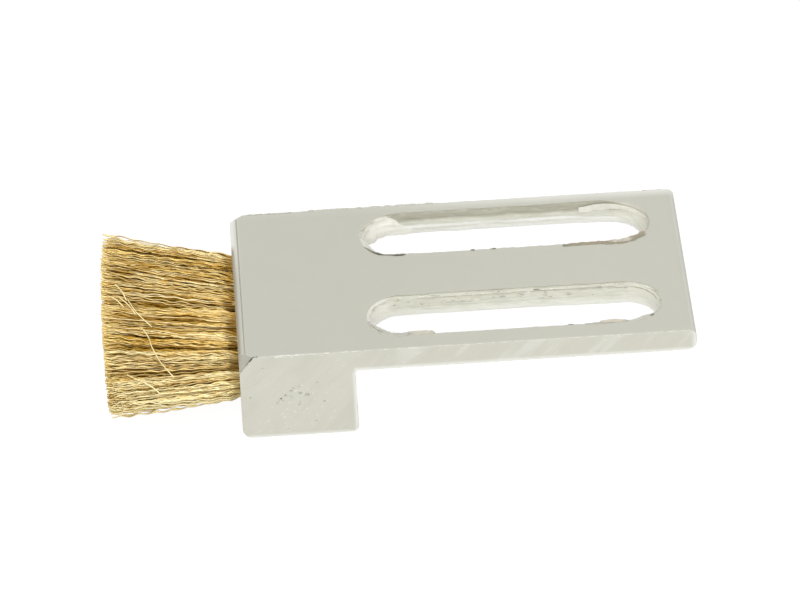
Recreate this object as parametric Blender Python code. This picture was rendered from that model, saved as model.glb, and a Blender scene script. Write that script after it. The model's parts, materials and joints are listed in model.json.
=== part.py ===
"""Cleaning brush for a machine: a slotted plastic holder with a row of crimped brass wire tufts.

The holder is one sawn and milled piece: a plate with two long slots, and a block under its brush end.
Seven tufts stand in blind holes in the block's end face. Each is folded over a small flat anchor,
which is driven into the walls of its hole and holds the tuft there.

Units are metres. +X runs from the wire tips to the tail, +Y from front to back, and +Z up.
The origin is under the middle of the whole brush, on the surface that it stands on.
"""
import math

import bmesh
import bpy
from mathutils import Matrix, Vector

# Holder
HOLDER_LENGTH = 0.0603
HOLDER_WIDTH = 0.0320
HOLDER_HEIGHT = 0.0130
PLATE_THICKNESS = 0.0031
BLOCK_LENGTH = 0.0152
SHOULDER_FILLET = 0.0005
FOOT_ROUND = 0.0004
TAIL_TOP_ROUND = 0.0011
TAIL_BOTTOM_ROUND = 0.0012
ROUND_LIMIT_SHARE = 0.45
ROUND_STEPS = 5

# Flat on the top edge over the wires, and the two corners that are pared off there
EDGE_FLAT_LENGTH = 0.0008
EDGE_FLAT_DROP = 0.0004
CORNER_CUT_LENGTH = 0.0019
CORNER_CUT_WIDTH = 0.0014
CORNER_CUT_DROP = 0.0024

# Slots, measured from the block's shoulder, the tail and the two long sides
SLOT_TO_SHOULDER = 0.0020
SLOT_TO_TAIL = 0.0040
FRONT_SLOT_WIDTH = 0.0085
FRONT_SLOT_MARGIN = 0.0028
BACK_SLOT_WIDTH = 0.0090
BACK_SLOT_MARGIN = 0.0023
SLOT_END_STEPS = 10

# Row of holes in the end face
TUFT_COUNT = 7
TUFT_HOLE_DIAMETER = 0.0034
TUFT_HOLE_DEPTH = 0.0080
TUFT_EDGE_WALL = 0.0013
HOLE_SIDES = 16

# Anchors
ANCHOR_THICKNESS = 0.00045
ANCHOR_DEPTH = 0.0016
ANCHOR_BITE = 0.00035
FOLD_THICKNESS = 0.0006
FOLD_BEVEL = 0.0003

# Wires
BRISTLE_LENGTH = 0.0180
TRIM_FALL = 0.0009
FAN_REACH = 0.0038
TIP_LIFT = 0.0009
TIP_FILL_SHARE = 0.86
TIP_HEIGHT = 0.0040
STRANDS_PER_TUFT = 48
STRAND_SEGMENTS = 3
STRAND_THICKNESS_SHARE = 0.78
STRAND_SINK = 0.0005
STRAND_WAVE = 0.00022
WAVE_CYCLES = 0.75
PLUG_SIDES = 12

# Gap that is left between pieces, the overrun of every cut, and how near two points are one point
FIT_GAP = 0.0003
OVERRUN = 0.0010
WELD_DISTANCE = 0.000002
SHARP_ANGLE = math.radians(30)

OVERALL_LENGTH = HOLDER_LENGTH + BRISTLE_LENGTH
END_FACE_X = BRISTLE_LENGTH - OVERALL_LENGTH / 2
SHOULDER_X = END_FACE_X + BLOCK_LENGTH
TAIL_X = END_FACE_X + HOLDER_LENGTH
SLOT_START_X = SHOULDER_X + SLOT_TO_SHOULDER
SLOT_END_X = TAIL_X - SLOT_TO_TAIL
PLATE_UNDERSIDE_Z = HOLDER_HEIGHT - PLATE_THICKNESS
ROW_Z = HOLDER_HEIGHT / 2
ROW_HALF = HOLDER_WIDTH / 2 - TUFT_EDGE_WALL - TUFT_HOLE_DIAMETER / 2
PLUG_RADIUS = TUFT_HOLE_DIAMETER / 2 - FIT_GAP
PLUG_BOTTOM_X = END_FACE_X + TUFT_HOLE_DEPTH - FIT_GAP
ANCHOR_BOTTOM_X = PLUG_BOTTOM_X - FOLD_THICKNESS - FIT_GAP
ANCHOR_X = ANCHOR_BOTTOM_X - ANCHOR_DEPTH / 2
ANCHOR_LENGTH = TUFT_HOLE_DIAMETER + 2 * ANCHOR_BITE
STRAND_SPACING = PLUG_RADIUS * math.sqrt(math.pi / STRANDS_PER_TUFT)
STRAND_RADIUS = STRAND_SPACING * STRAND_THICKNESS_SHARE / 2
ROOT_FIELD = PLUG_RADIUS - STRAND_SPACING / 2
TIP_FIELD_ACROSS = (ROW_HALF + FAN_REACH) / (TUFT_COUNT - 1) * TIP_FILL_SHARE - STRAND_RADIUS
TIP_FIELD_UP = TIP_HEIGHT / 2 - STRAND_RADIUS
GOLDEN_ANGLE = math.pi * (3 - math.sqrt(5))

PLASTIC = ("holder_plastic", (0.60, 0.59, 0.52, 1.0), 0.55, 0.0)
BRASS = ("bristle_brass", (0.52, 0.33, 0.10, 1.0), 0.35, 1.0)
STEEL = ("anchor_steel", (0.45, 0.45, 0.46, 1.0), 0.40, 1.0)


def clear_scene():
    """Remove what the file held, so that the model stands alone."""
    for thing in list(bpy.data.objects):
        bpy.data.objects.remove(thing, do_unlink=True)


def new_collection(name):
    """A collection of its own, linked to the scene."""
    collection = bpy.data.collections.new(name)
    bpy.context.scene.collection.children.link(collection)
    return collection


def new_material(name, colour, roughness, metallic):
    """A plain Principled material."""
    material = bpy.data.materials.new(name)
    material.use_nodes = True
    shader = material.node_tree.nodes["Principled BSDF"]
    shader.inputs["Base Color"].default_value = colour
    shader.inputs["Roughness"].default_value = roughness
    shader.inputs["Metallic"].default_value = metallic
    material.diffuse_color = colour
    return material


def new_object(name, data, collection):
    """An object in the given collection."""
    thing = bpy.data.objects.new(name, data)
    collection.objects.link(thing)
    return thing


def mesh_from_bmesh(name, bm):
    """Turn a bmesh into a mesh with its faces pointing out."""
    bmesh.ops.recalc_face_normals(bm, faces=bm.faces)
    mesh = bpy.data.meshes.new(name)
    bm.to_mesh(mesh)
    bm.free()
    return mesh


def welded_mesh(curve_object, collection):
    """Turn a curve object into a closed mesh object of the same name, and remove the curve."""
    name = curve_object.name
    bpy.context.view_layer.update()
    evaluated = curve_object.evaluated_get(bpy.context.evaluated_depsgraph_get())
    mesh = bpy.data.meshes.new_from_object(evaluated)
    place = curve_object.matrix_world.copy()
    bpy.data.objects.remove(curve_object, do_unlink=True)
    bm = bmesh.new()
    bm.from_mesh(mesh)
    bmesh.ops.remove_doubles(bm, verts=bm.verts, dist=WELD_DISTANCE)
    bmesh.ops.recalc_face_normals(bm, faces=bm.faces)
    bm.to_mesh(mesh)
    bm.free()
    solid = new_object(name, mesh, collection)
    solid.matrix_world = place
    return solid


def outline_curve(name, points, thickness, collection):
    """A flat closed outline in its own XY plane, given thickness along its own Z."""
    curve = bpy.data.curves.new(name, "CURVE")
    curve.dimensions = "2D"
    curve.fill_mode = "BOTH"
    curve.extrude = thickness / 2
    spline = curve.splines.new("POLY")
    spline.points.add(len(points) - 1)
    for point, (x, y) in zip(spline.points, points):
        point.co = (x, y, 0, 1)
    spline.use_cyclic_u = True
    return new_object(name, curve, collection)


def rounded_corner(before, corner, after, radius, steps):
    """Points of the arc that rounds one right-angled corner of an outline."""
    here = Vector(corner)
    back = (Vector(before) - here).normalized()
    ahead = (Vector(after) - here).normalized()
    centre = here + (back + ahead) * radius
    arc = []
    for step in range(steps + 1):
        turn = math.pi / 2 * step / steps
        arc.append(tuple(centre - ahead * radius * math.cos(turn) - back * radius * math.sin(turn)))
    return arc


def side_outline():
    """The holder's side view: length along X, height along Y, corner by corner from the foot."""
    round_limit = PLATE_THICKNESS * ROUND_LIMIT_SHARE
    corners = [
        ((END_FACE_X, 0), FOOT_ROUND),
        ((SHOULDER_X, 0), FOOT_ROUND),
        ((SHOULDER_X, PLATE_UNDERSIDE_Z), SHOULDER_FILLET),
        ((TAIL_X, PLATE_UNDERSIDE_Z), min(TAIL_BOTTOM_ROUND, round_limit)),
        ((TAIL_X, HOLDER_HEIGHT), min(TAIL_TOP_ROUND, round_limit)),
        ((END_FACE_X + EDGE_FLAT_LENGTH, HOLDER_HEIGHT), 0),
        ((END_FACE_X, HOLDER_HEIGHT - EDGE_FLAT_DROP), 0),
    ]
    points = []
    for index, (corner, radius) in enumerate(corners):
        before = corners[index - 1][0]
        after = corners[(index + 1) % len(corners)][0]
        if radius:
            points += rounded_corner(before, corner, after, radius, ROUND_STEPS)
        else:
            points.append(corner)
    return points


def slot_outline(width):
    """A slot's outline about its own middle: two straight sides and two half-round ends."""
    radius = width / 2
    half_straight = (SLOT_END_X - SLOT_START_X) / 2 - radius
    points = []
    for side in (1, -1):
        for step in range(SLOT_END_STEPS + 1):
            turn = math.pi * step / SLOT_END_STEPS - math.pi / 2
            along = half_straight + radius * math.cos(turn)
            points.append((side * along, side * radius * math.sin(turn)))
    return points


def shading_tree():
    """A modifier tree that shades a piece smooth but keeps its sharp edges crisp."""
    tree = bpy.data.node_groups.new("shade_by_angle", "GeometryNodeTree")
    tree.interface.new_socket("Geometry", in_out="INPUT", socket_type="NodeSocketGeometry")
    tree.interface.new_socket("Geometry", in_out="OUTPUT", socket_type="NodeSocketGeometry")
    group_in = tree.nodes.new("NodeGroupInput")
    group_out = tree.nodes.new("NodeGroupOutput")
    smooth_faces = tree.nodes.new("GeometryNodeSetShadeSmooth")
    smooth_faces.domain = "FACE"
    sharp_edges = tree.nodes.new("GeometryNodeSetShadeSmooth")
    sharp_edges.domain = "EDGE"
    sharp_edges.inputs["Shade Smooth"].default_value = False
    edge_angle = tree.nodes.new("GeometryNodeInputMeshEdgeAngle")
    sharper = tree.nodes.new("FunctionNodeCompare")
    sharper.operation = "GREATER_THAN"
    sharper.inputs["B"].default_value = SHARP_ANGLE
    tree.links.new(group_in.outputs["Geometry"], smooth_faces.inputs["Geometry"])
    tree.links.new(smooth_faces.outputs["Geometry"], sharp_edges.inputs["Geometry"])
    tree.links.new(edge_angle.outputs["Unsigned Angle"], sharper.inputs["A"])
    tree.links.new(sharper.outputs["Result"], sharp_edges.inputs["Selection"])
    tree.links.new(sharp_edges.outputs["Geometry"], group_out.inputs["Geometry"])
    return tree


def shade(part, tree):
    """Give a finished piece its shading, after all its cuts."""
    modifier = part.modifiers.new("shade_by_angle", "NODES")
    modifier.node_group = tree


def cut(target, cutter):
    """Take the cutter away from the target."""
    cutter.hide_render = True
    cutter.display_type = "WIRE"
    modifier = target.modifiers.new("cut_" + cutter.name, "BOOLEAN")
    modifier.operation = "DIFFERENCE"
    modifier.solver = "EXACT"
    modifier.object = cutter


def box(name, size, centre, collection):
    """A box of the given size about the given centre."""
    bm = bmesh.new()
    bmesh.ops.create_cube(bm, size=1, matrix=Matrix.Translation(centre) @ Matrix.Diagonal((*size, 1)))
    return new_object(name, mesh_from_bmesh(name, bm), collection)


def rod(name, radius, start_x, end_x, y, sides, collection):
    """A round rod along X at the height of the row of tufts."""
    centre = Vector(((start_x + end_x) / 2, y, ROW_Z))
    place = Matrix.Translation(centre) @ Matrix.Rotation(math.pi / 2, 4, "Y")
    bm = bmesh.new()
    bmesh.ops.create_cone(
        bm, cap_ends=True, segments=sides, radius1=radius, radius2=radius,
        depth=end_x - start_x, matrix=place
    )
    return new_object(name, mesh_from_bmesh(name, bm), collection)


def corner_cutter(name, side, collection):
    """A block whose flat face pares off one top corner of the end face. Side is -1 at the front."""
    corner = Vector((END_FACE_X, side * HOLDER_WIDTH / 2, HOLDER_HEIGHT))
    on_length = corner + Vector((CORNER_CUT_LENGTH, 0, 0))
    on_width = corner - Vector((0, side * CORNER_CUT_WIDTH, 0))
    on_height = corner - Vector((0, 0, CORNER_CUT_DROP))
    normal = (on_width - on_length).cross(on_height - on_length).normalized()
    if normal.dot(corner - on_length) < 0:
        normal.negate()
    size = 2 * (CORNER_CUT_LENGTH + CORNER_CUT_WIDTH + CORNER_CUT_DROP)
    middle = (on_length + on_width + on_height) / 3
    facing = normal.to_track_quat("Z", "Y").to_matrix().to_4x4()
    place = Matrix.Translation(middle + normal * size / 2) @ facing
    bm = bmesh.new()
    bmesh.ops.create_cube(bm, size=size, matrix=place)
    return new_object(name, mesh_from_bmesh(name, bm), collection)


def tuft_y(index):
    """The middle of one tuft, counted from the front."""
    return ROW_HALF * (2 * index / (TUFT_COUNT - 1) - 1)


def build_holder(parts, cutters, material):
    """The plate and block with their slots, holes, anchor notches and pared corners."""
    outline = outline_curve("holder", side_outline(), HOLDER_WIDTH, parts)
    outline.rotation_euler = (math.pi / 2, 0, 0)
    holder = welded_mesh(outline, parts)
    holder.data.materials.append(material)
    slots = (
        ("front_slot", FRONT_SLOT_WIDTH, FRONT_SLOT_MARGIN - HOLDER_WIDTH / 2 + FRONT_SLOT_WIDTH / 2),
        ("back_slot", BACK_SLOT_WIDTH, HOLDER_WIDTH / 2 - BACK_SLOT_MARGIN - BACK_SLOT_WIDTH / 2),
    )
    for name, width, y in slots:
        slot = outline_curve(name, slot_outline(width), PLATE_THICKNESS + 2 * OVERRUN, cutters)
        slot.location = ((SLOT_START_X + SLOT_END_X) / 2, y, HOLDER_HEIGHT - PLATE_THICKNESS / 2)
        cut(holder, welded_mesh(slot, cutters))
    for name, side in (("front_corner", -1), ("back_corner", 1)):
        cut(holder, corner_cutter(name, side, cutters))
    notch_size = (ANCHOR_DEPTH + 2 * FIT_GAP, ANCHOR_THICKNESS + 2 * FIT_GAP, ANCHOR_LENGTH + 2 * FIT_GAP)
    for index in range(TUFT_COUNT):
        y = tuft_y(index)
        hole = rod(
            f"tuft_hole_{index + 1}", TUFT_HOLE_DIAMETER / 2,
            END_FACE_X - OVERRUN, END_FACE_X + TUFT_HOLE_DEPTH, y, HOLE_SIDES, cutters
        )
        cut(holder, hole)
        cut(holder, box(f"anchor_notch_{index + 1}", notch_size, Vector((ANCHOR_X, y, ROW_Z)), cutters))
    return holder


def strand_root(number):
    """Where one wire stands in its tuft, on a sunflower spiral about the tuft's middle."""
    radius = ROOT_FIELD * math.sqrt((number + 0.5) / STRANDS_PER_TUFT)
    angle = number * GOLDEN_ANGLE
    return radius * math.cos(angle), radius * math.sin(angle)


def strand_path(index, number):
    """Points of one wire from inside its plug to its tip. The wires of a tuft spread and wave alike."""
    root_y, root_z = strand_root(number)
    y = tuft_y(index)
    across = (y + root_y) / ROW_HALF
    reach = BRISTLE_LENGTH - TRIM_FALL * across ** 2
    wave_turn = index * GOLDEN_ANGLE
    points = [Vector((END_FACE_X + STRAND_SINK, y + root_y, ROW_Z + root_z))]
    for step in range(1, STRAND_SEGMENTS + 1):
        along = step / STRAND_SEGMENTS
        spread_y = 1 + (TIP_FIELD_ACROSS / ROOT_FIELD - 1) * along
        spread_z = 1 + (TIP_FIELD_UP / ROOT_FIELD - 1) * along
        wave = STRAND_WAVE * math.sin(2 * math.pi * WAVE_CYCLES * along)
        points.append(Vector((
            END_FACE_X - reach * along,
            y + root_y * spread_y + FAN_REACH * y / ROW_HALF * along + wave * math.cos(wave_turn),
            ROW_Z + root_z * spread_z + TIP_LIFT * along + wave * math.sin(wave_turn),
        )))
    return points


def strand_profile(cutters):
    """The wires' three-sided section, as a curve that the strands are swept along."""
    curve = bpy.data.curves.new("strand_section", "CURVE")
    curve.dimensions = "2D"
    curve.fill_mode = "NONE"
    spline = curve.splines.new("POLY")
    spline.points.add(2)
    for corner, point in enumerate(spline.points):
        turn = 2 * math.pi * corner / 3
        point.co = (STRAND_RADIUS * math.cos(turn), STRAND_RADIUS * math.sin(turn), 0, 1)
    spline.use_cyclic_u = True
    profile = new_object("strand_section", curve, cutters)
    profile.hide_render = True
    return profile


def build_strands(index, profile, cutters):
    """All the wires of one tuft, each a closed three-sided rod."""
    curve = bpy.data.curves.new(f"strands_{index + 1}", "CURVE")
    curve.dimensions = "3D"
    curve.bevel_mode = "OBJECT"
    curve.bevel_object = profile
    curve.use_fill_caps = True
    for number in range(STRANDS_PER_TUFT):
        path = strand_path(index, number)
        spline = curve.splines.new("POLY")
        spline.points.add(len(path) - 1)
        for point, place in zip(spline.points, path):
            point.co = (*place, 1)
    strands = welded_mesh(new_object(curve.name, curve, cutters), cutters)
    strands.hide_render = True
    strands.display_type = "WIRE"
    return strands


def build_tuft(index, profile, parts, cutters, material):
    """One tuft: the folded bundle in its hole, with a window for the anchor, and its wires."""
    y = tuft_y(index)
    tuft = rod(f"tuft_{index + 1}", PLUG_RADIUS, END_FACE_X, PLUG_BOTTOM_X, y, PLUG_SIDES, parts)
    bm = bmesh.new()
    bm.from_mesh(tuft.data)
    bottom = [
        edge for edge in bm.edges
        if all(abs(vert.co.x - PLUG_BOTTOM_X) < WELD_DISTANCE for vert in edge.verts)
    ]
    bmesh.ops.bevel(bm, geom=bottom, offset=FOLD_BEVEL, segments=1, affect="EDGES")
    bm.to_mesh(tuft.data)
    bm.free()
    tuft.data.materials.append(material)
    window_size = (ANCHOR_DEPTH + 2 * FIT_GAP, ANCHOR_THICKNESS + 2 * FIT_GAP, 2 * PLUG_RADIUS + OVERRUN)
    cut(tuft, box(f"anchor_window_{index + 1}", window_size, Vector((ANCHOR_X, y, ROW_Z)), cutters))
    join = tuft.modifiers.new("join_strands", "BOOLEAN")
    join.operation = "UNION"
    join.solver = "EXACT"
    join.object = build_strands(index, profile, cutters)
    return tuft


def build_anchor(index, parts, material):
    """One anchor: a short flat wire that lies across the hole inside the tuft's fold."""
    size = (ANCHOR_DEPTH, ANCHOR_THICKNESS, ANCHOR_LENGTH)
    anchor = box(f"tuft_anchor_{index + 1}", size, Vector((ANCHOR_X, tuft_y(index), ROW_Z)), parts)
    anchor.data.materials.append(material)
    return anchor


def main():
    clear_scene()
    parts = new_collection("cleaning_brush")
    cutters = new_collection("cutters")
    plastic = new_material(*PLASTIC)
    brass = new_material(*BRASS)
    steel = new_material(*STEEL)
    shading = shading_tree()
    shade(build_holder(parts, cutters, plastic), shading)
    profile = strand_profile(cutters)
    for index in range(TUFT_COUNT):
        shade(build_tuft(index, profile, parts, cutters, brass), shading)
        build_anchor(index, parts, steel)
    bpy.context.view_layer.update()


main()
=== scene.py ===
# %% [markdown]
# # A machine brush with crimped brass wire
# The object is a small cleaning brush that is bolted to a machine. Its holder is one piece of pale
# plastic: a plate with two long adjusting slots, and a block under one end. Seven tufts of crimped
# brass wire stand in a row of holes in the block's end face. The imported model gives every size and
# place, and this script dresses it: a worn, sawn and milled holder, real crimped wires, and the
# curls and flaps that a blunt cutter leaves along the slots.

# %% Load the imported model
import json
import math
import random

import bmesh
import bpy
from mathutils import Matrix, Vector, noise

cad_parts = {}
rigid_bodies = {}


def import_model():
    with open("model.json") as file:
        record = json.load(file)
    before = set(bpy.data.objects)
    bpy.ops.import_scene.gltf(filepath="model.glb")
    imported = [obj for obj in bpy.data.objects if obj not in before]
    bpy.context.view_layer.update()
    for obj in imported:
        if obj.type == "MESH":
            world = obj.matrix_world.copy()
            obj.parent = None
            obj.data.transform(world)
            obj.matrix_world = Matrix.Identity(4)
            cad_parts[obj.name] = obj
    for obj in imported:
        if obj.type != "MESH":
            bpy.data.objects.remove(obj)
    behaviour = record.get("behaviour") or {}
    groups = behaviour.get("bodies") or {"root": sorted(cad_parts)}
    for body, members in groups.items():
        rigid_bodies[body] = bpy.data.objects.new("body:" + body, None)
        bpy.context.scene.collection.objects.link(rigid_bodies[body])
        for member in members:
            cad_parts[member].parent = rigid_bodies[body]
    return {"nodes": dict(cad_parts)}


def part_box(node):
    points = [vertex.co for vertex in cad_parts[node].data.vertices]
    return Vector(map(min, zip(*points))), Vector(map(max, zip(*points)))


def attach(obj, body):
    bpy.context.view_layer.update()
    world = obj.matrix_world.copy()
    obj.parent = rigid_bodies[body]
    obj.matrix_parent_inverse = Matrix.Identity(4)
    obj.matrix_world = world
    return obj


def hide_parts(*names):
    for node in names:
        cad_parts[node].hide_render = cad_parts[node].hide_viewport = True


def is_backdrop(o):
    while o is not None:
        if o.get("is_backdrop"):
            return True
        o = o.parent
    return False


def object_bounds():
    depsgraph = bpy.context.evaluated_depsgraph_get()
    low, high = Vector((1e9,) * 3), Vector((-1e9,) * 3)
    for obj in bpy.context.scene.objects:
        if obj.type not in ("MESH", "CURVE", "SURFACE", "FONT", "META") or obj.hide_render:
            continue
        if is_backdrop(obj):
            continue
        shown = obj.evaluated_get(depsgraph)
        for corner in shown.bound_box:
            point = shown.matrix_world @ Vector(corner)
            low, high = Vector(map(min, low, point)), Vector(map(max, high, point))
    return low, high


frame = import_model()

MM = 0.001
cad_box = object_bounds()
holder_low, holder_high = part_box("holder")
print("nodes:", ", ".join(sorted(frame["nodes"])))
print("holder in mm:", [round(v / MM, 2) for v in (*holder_low, *holder_high)])

# %% [markdown]
# ## Small helpers
# Node trees for shapes and for materials are built the same way: a node is added, its settings are
# given, and each input gets either a plain value or a link. One small class keeps every tree in this
# script short and readable. A finished piece is always a plain mesh, so a second helper takes what the
# modifiers make and drops the modifiers.

# %% A helper that writes node trees
class TreeWriter:
    """Adds nodes to a tree, and feeds their inputs with values or with other nodes."""

    def __init__(self, tree):
        self.tree = tree

    def add(self, kind, inputs=None, **settings):
        node = self.tree.nodes.new(kind)
        for name, value in settings.items():
            setattr(node, name, value)
        return self.feed_all(node, inputs or {})

    def feed_all(self, node, inputs):
        for name, value in inputs.items():
            self.feed(node.inputs[name], value)
        return node

    def feed(self, socket, value):
        if isinstance(value, bpy.types.Node):
            value = value.outputs[0]
        if isinstance(value, bpy.types.NodeSocket):
            self.tree.links.new(value, socket)
        else:
            socket.default_value = value

    def math(self, operation, *values):
        return self.add("ShaderNodeMath", dict(enumerate(values)), operation=operation).outputs[0]

    def vector(self, operation, *values):
        node = self.add("ShaderNodeVectorMath", dict(enumerate(values)), operation=operation)
        return node.outputs["Value" if operation in ("LENGTH", "DISTANCE", "DOT_PRODUCT") else "Vector"]

    def chain(self, operation, values):
        """One number from many, with the same operation between each and the next."""
        result = values[0]
        for value in values[1:]:
            result = self.math(operation, result, value)
        return result

    def product(self, *values):
        return self.chain("MULTIPLY", values)

    def total(self, *values):
        return self.chain("ADD", values)

    def ramp(self, value, low, high, to_low=0.0, to_high=1.0):
        """A smooth step from one value to another."""
        inputs = {"Value": value, "From Min": low, "From Max": high, "To Min": to_low, "To Max": to_high}
        return self.add("ShaderNodeMapRange", inputs, interpolation_type="SMOOTHSTEP").outputs[0]

    def inside(self, value, low, high, soft):
        """One between two values, with soft ends."""
        rise = self.ramp(value, low - soft, low + soft)
        fall = self.ramp(value, high - soft, high + soft, 1.0, 0.0)
        return self.math("MULTIPLY", rise, fall)

    def join(self, x, y, z):
        """A vector from its three numbers."""
        return self.add("ShaderNodeCombineXYZ", {0: x, 1: y, 2: z}).outputs[0]

    def split(self, vector):
        """The three numbers of a vector."""
        return self.add("ShaderNodeSeparateXYZ", {0: vector}).outputs

    def bump(self, height, strength, distance):
        return self.add("ShaderNodeBump", {"Height": height, "Strength": strength, "Distance": distance})

    def scaled(self, vector, factor):
        return self.add("ShaderNodeVectorMath", {0: vector, "Scale": factor}, operation="SCALE").outputs[0]

    def mix(self, factor, first, second, blend="MIX"):
        """Two colours mixed."""
        node = self.add("ShaderNodeMix", {0: factor, 6: first, 7: second}, data_type="RGBA", blend_type=blend)
        return node.outputs[2]


def new_group(name, kind, inputs, outputs):
    """An empty node group with named sockets. Each input is a name, a socket kind and a value."""
    tree = bpy.data.node_groups.new(name, kind)
    for label, socket, value in inputs:
        made = tree.interface.new_socket(label, in_out="INPUT", socket_type=socket)
        if value is not None:
            made.default_value = value
    for label, socket in outputs:
        tree.interface.new_socket(label, in_out="OUTPUT", socket_type=socket)
    writer = TreeWriter(tree)
    return writer, writer.add("NodeGroupInput"), writer.add("NodeGroupOutput")


# %% Helpers that make and finish meshes
def new_object(name, mesh):
    """An object at the origin, linked to the scene."""
    thing = bpy.data.objects.new(name, mesh)
    bpy.context.scene.collection.objects.link(thing)
    return thing


def mesh_object(name, vertices, faces, edges=()):
    """An object from plain lists of points and faces."""
    mesh = bpy.data.meshes.new(name)
    mesh.from_pydata([tuple(v) for v in vertices], list(edges), faces)
    return new_object(name, mesh)


def from_bmesh(name, bm):
    """An object from a finished bmesh, which is freed."""
    mesh = bpy.data.meshes.new(name)
    bm.to_mesh(mesh)
    bm.free()
    return new_object(name, mesh)


def store(thing, label, values):
    """Give each point of a mesh a number of its own, or one number to all of them."""
    if isinstance(values, float):
        values = [values] * len(thing.data.vertices)
    thing.data.attributes.new(label, "FLOAT", "POINT").data.foreach_set("value", values)


# %% Helpers that finish meshes
def settle(thing):
    """Keep what the modifiers make as a plain mesh, and take the modifiers off."""
    bpy.context.view_layer.update()
    evaluated = thing.evaluated_get(bpy.context.evaluated_depsgraph_get())
    made = bpy.data.meshes.new_from_object(evaluated)
    thing.modifiers.clear()
    old = thing.data
    thing.data = made
    bpy.data.meshes.remove(old)
    made.name = thing.name
    return thing


def face_outwards(thing):
    """Weld doubled points and turn every face outwards."""
    bm = bmesh.new()
    bm.from_mesh(thing.data)
    bmesh.ops.remove_doubles(bm, verts=bm.verts, dist=0.002 * MM)
    bmesh.ops.recalc_face_normals(bm, faces=bm.faces)
    bm.to_mesh(thing.data)
    bm.free()


def grow(thing, tree, values):
    """Run a Geometry Nodes tree on an object with named values, and keep the mesh that it makes."""
    modifier = thing.modifiers.new(tree.name, "NODES")
    modifier.node_group = tree
    sockets = {item.name: item.identifier for item in tree.interface.items_tree if item.in_out == "INPUT"}
    for label, value in values.items():
        modifier[sockets[label]] = value
    settle(thing)
    print(thing.name, "has", sum(len(p.vertices) - 2 for p in thing.data.polygons), "triangles")
    return thing


# %% Helpers for shapes that are worked out point by point
def step(value, low, high):
    """A smooth step between two values, for shapes that are worked out point by point."""
    share = min(max((value - low) / (high - low), 0), 1)
    return share * share * (3 - 2 * share)


def pattern_place(x, y, size, third):
    """Where a point lies in a noise pattern of a given size."""
    return Vector((x / size, y / size, third))


def side_faces(rings, count):
    """Faces between closed rings of points, from each ring to the next."""
    faces = []
    for ring in range(rings - 1):
        a, b = ring * count, (ring + 1) * count
        faces += [(a + k, a + (k + 1) % count, b + (k + 1) % count, b + k) for k in range(count)]
    return faces


# %% [markdown]
# ## Camera
# The photograph was taken from a little above the front, from far away with a long lens, so that
# parallel edges stay almost parallel. A camera could be placed by eye, but matching the holder's
# edges and the round ends of its slots gives the direction, the tilt and the distance in numbers.

# %% Camera
AZIMUTH, ELEVATION, ROLL = (math.radians(v) for v in (-2.12, 36.77, -2.32))
FOCAL_PIXELS, PICTURE_WIDTH, SENSOR = 6012, 800, 36
AIM = Vector((8.85, -16, 13)) * MM
OFFSET_RIGHT, OFFSET_UP, DISTANCE = 8.77 * MM, -5.41 * MM, 788.8 * MM

backwards = Vector((
    math.sin(AZIMUTH) * math.cos(ELEVATION), -math.cos(AZIMUTH) * math.cos(ELEVATION), math.sin(ELEVATION)
))
level_right = (-backwards).cross(Vector((0, 0, 1))).normalized()
level_up = level_right.cross(-backwards)
right = level_right * math.cos(ROLL) + level_up * math.sin(ROLL)
up = level_up * math.cos(ROLL) - level_right * math.sin(ROLL)
lens = bpy.data.cameras.new("camera")
lens.sensor_width = SENSOR
lens.lens = FOCAL_PIXELS * SENSOR / PICTURE_WIDTH
lens.clip_start, lens.clip_end = 0.01, 20
camera = new_object("camera", lens)
place = Matrix((right, up, backwards)).transposed().to_4x4()
place.translation = AIM - right * OFFSET_RIGHT - up * OFFSET_UP + backwards * DISTANCE
camera.matrix_world = place
bpy.context.scene.camera = camera
print("camera at", [round(v, 3) for v in place.translation], "lens", round(lens.lens, 1), "mm")

# %% [markdown]
# ## Light
# The brush lies in a bright white surround, so its shadows are faint and its edges glow. An even white
# world gives most of the light. One big soft lamp in front lifts the faces that look at the viewer a
# little above the top face. The surround shows pure white to the eye, and that is done by looks alone,
# with Light Path, so the object isn't lit any harder for it.

# %% Light
WHITE = (1, 1, 1, 1)
WORLD_LIGHT = 0.60
LAMP_AIM = Vector((0, 0, 0.01))
# Each lamp: its place, its side in metres and its power in watts
LAMPS = {
    "front_lamp": (Vector((-0.12, -0.62, 0.38)), 0.60, 2.3),
    "top_lamp": (Vector((0.10, 0.10, 0.75)), 0.80, 1.1),
}


def seen_directly(writer):
    """One where a ray comes from the eye, a reflection or glass, and nought where it only lights."""
    path = writer.add("ShaderNodeLightPath")
    straight = writer.math("MAXIMUM", path.outputs["Is Camera Ray"], path.outputs["Is Glossy Ray"])
    return writer.math("MAXIMUM", straight, path.outputs["Is Transmission Ray"])


def soft_lamp(name, spot, size, watts):
    """A square area lamp that looks at the brush."""
    data = bpy.data.lights.new(name, "AREA")
    data.size = size
    data.energy = watts
    lamp = new_object(name, data)
    lamp.location = spot
    lamp.rotation_euler = (LAMP_AIM - spot).to_track_quat("-Z", "Y").to_euler()
    lamp.visible_camera = False


world = bpy.data.worlds.new("white_surround")
bpy.context.scene.world = world
world.use_nodes = True
writer = TreeWriter(world.node_tree)
writer.feed_all(world.node_tree.nodes["Background"], {
    "Color": WHITE, "Strength": writer.ramp(seen_directly(writer), 0, 1, WORLD_LIGHT, 1.0),
})
for name, lamp in LAMPS.items():
    soft_lamp(name, *lamp)
bpy.context.scene.view_settings.view_transform = "Standard"
print("lamps:", ", ".join(LAMPS), "in a world of strength", WORLD_LIGHT)

# %% [markdown]
# ## Finishes that more than one material uses
# Every real surface changes a little from place to place. Two patterns do most of it here: a soft
# mottle, and long drawn lines such as a saw, a die or a mill leaves. Each is a node group with its own
# sizes, built once and placed in a material with the values that suit it. Groups give out only masks,
# and each material keeps its own shader.

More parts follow.
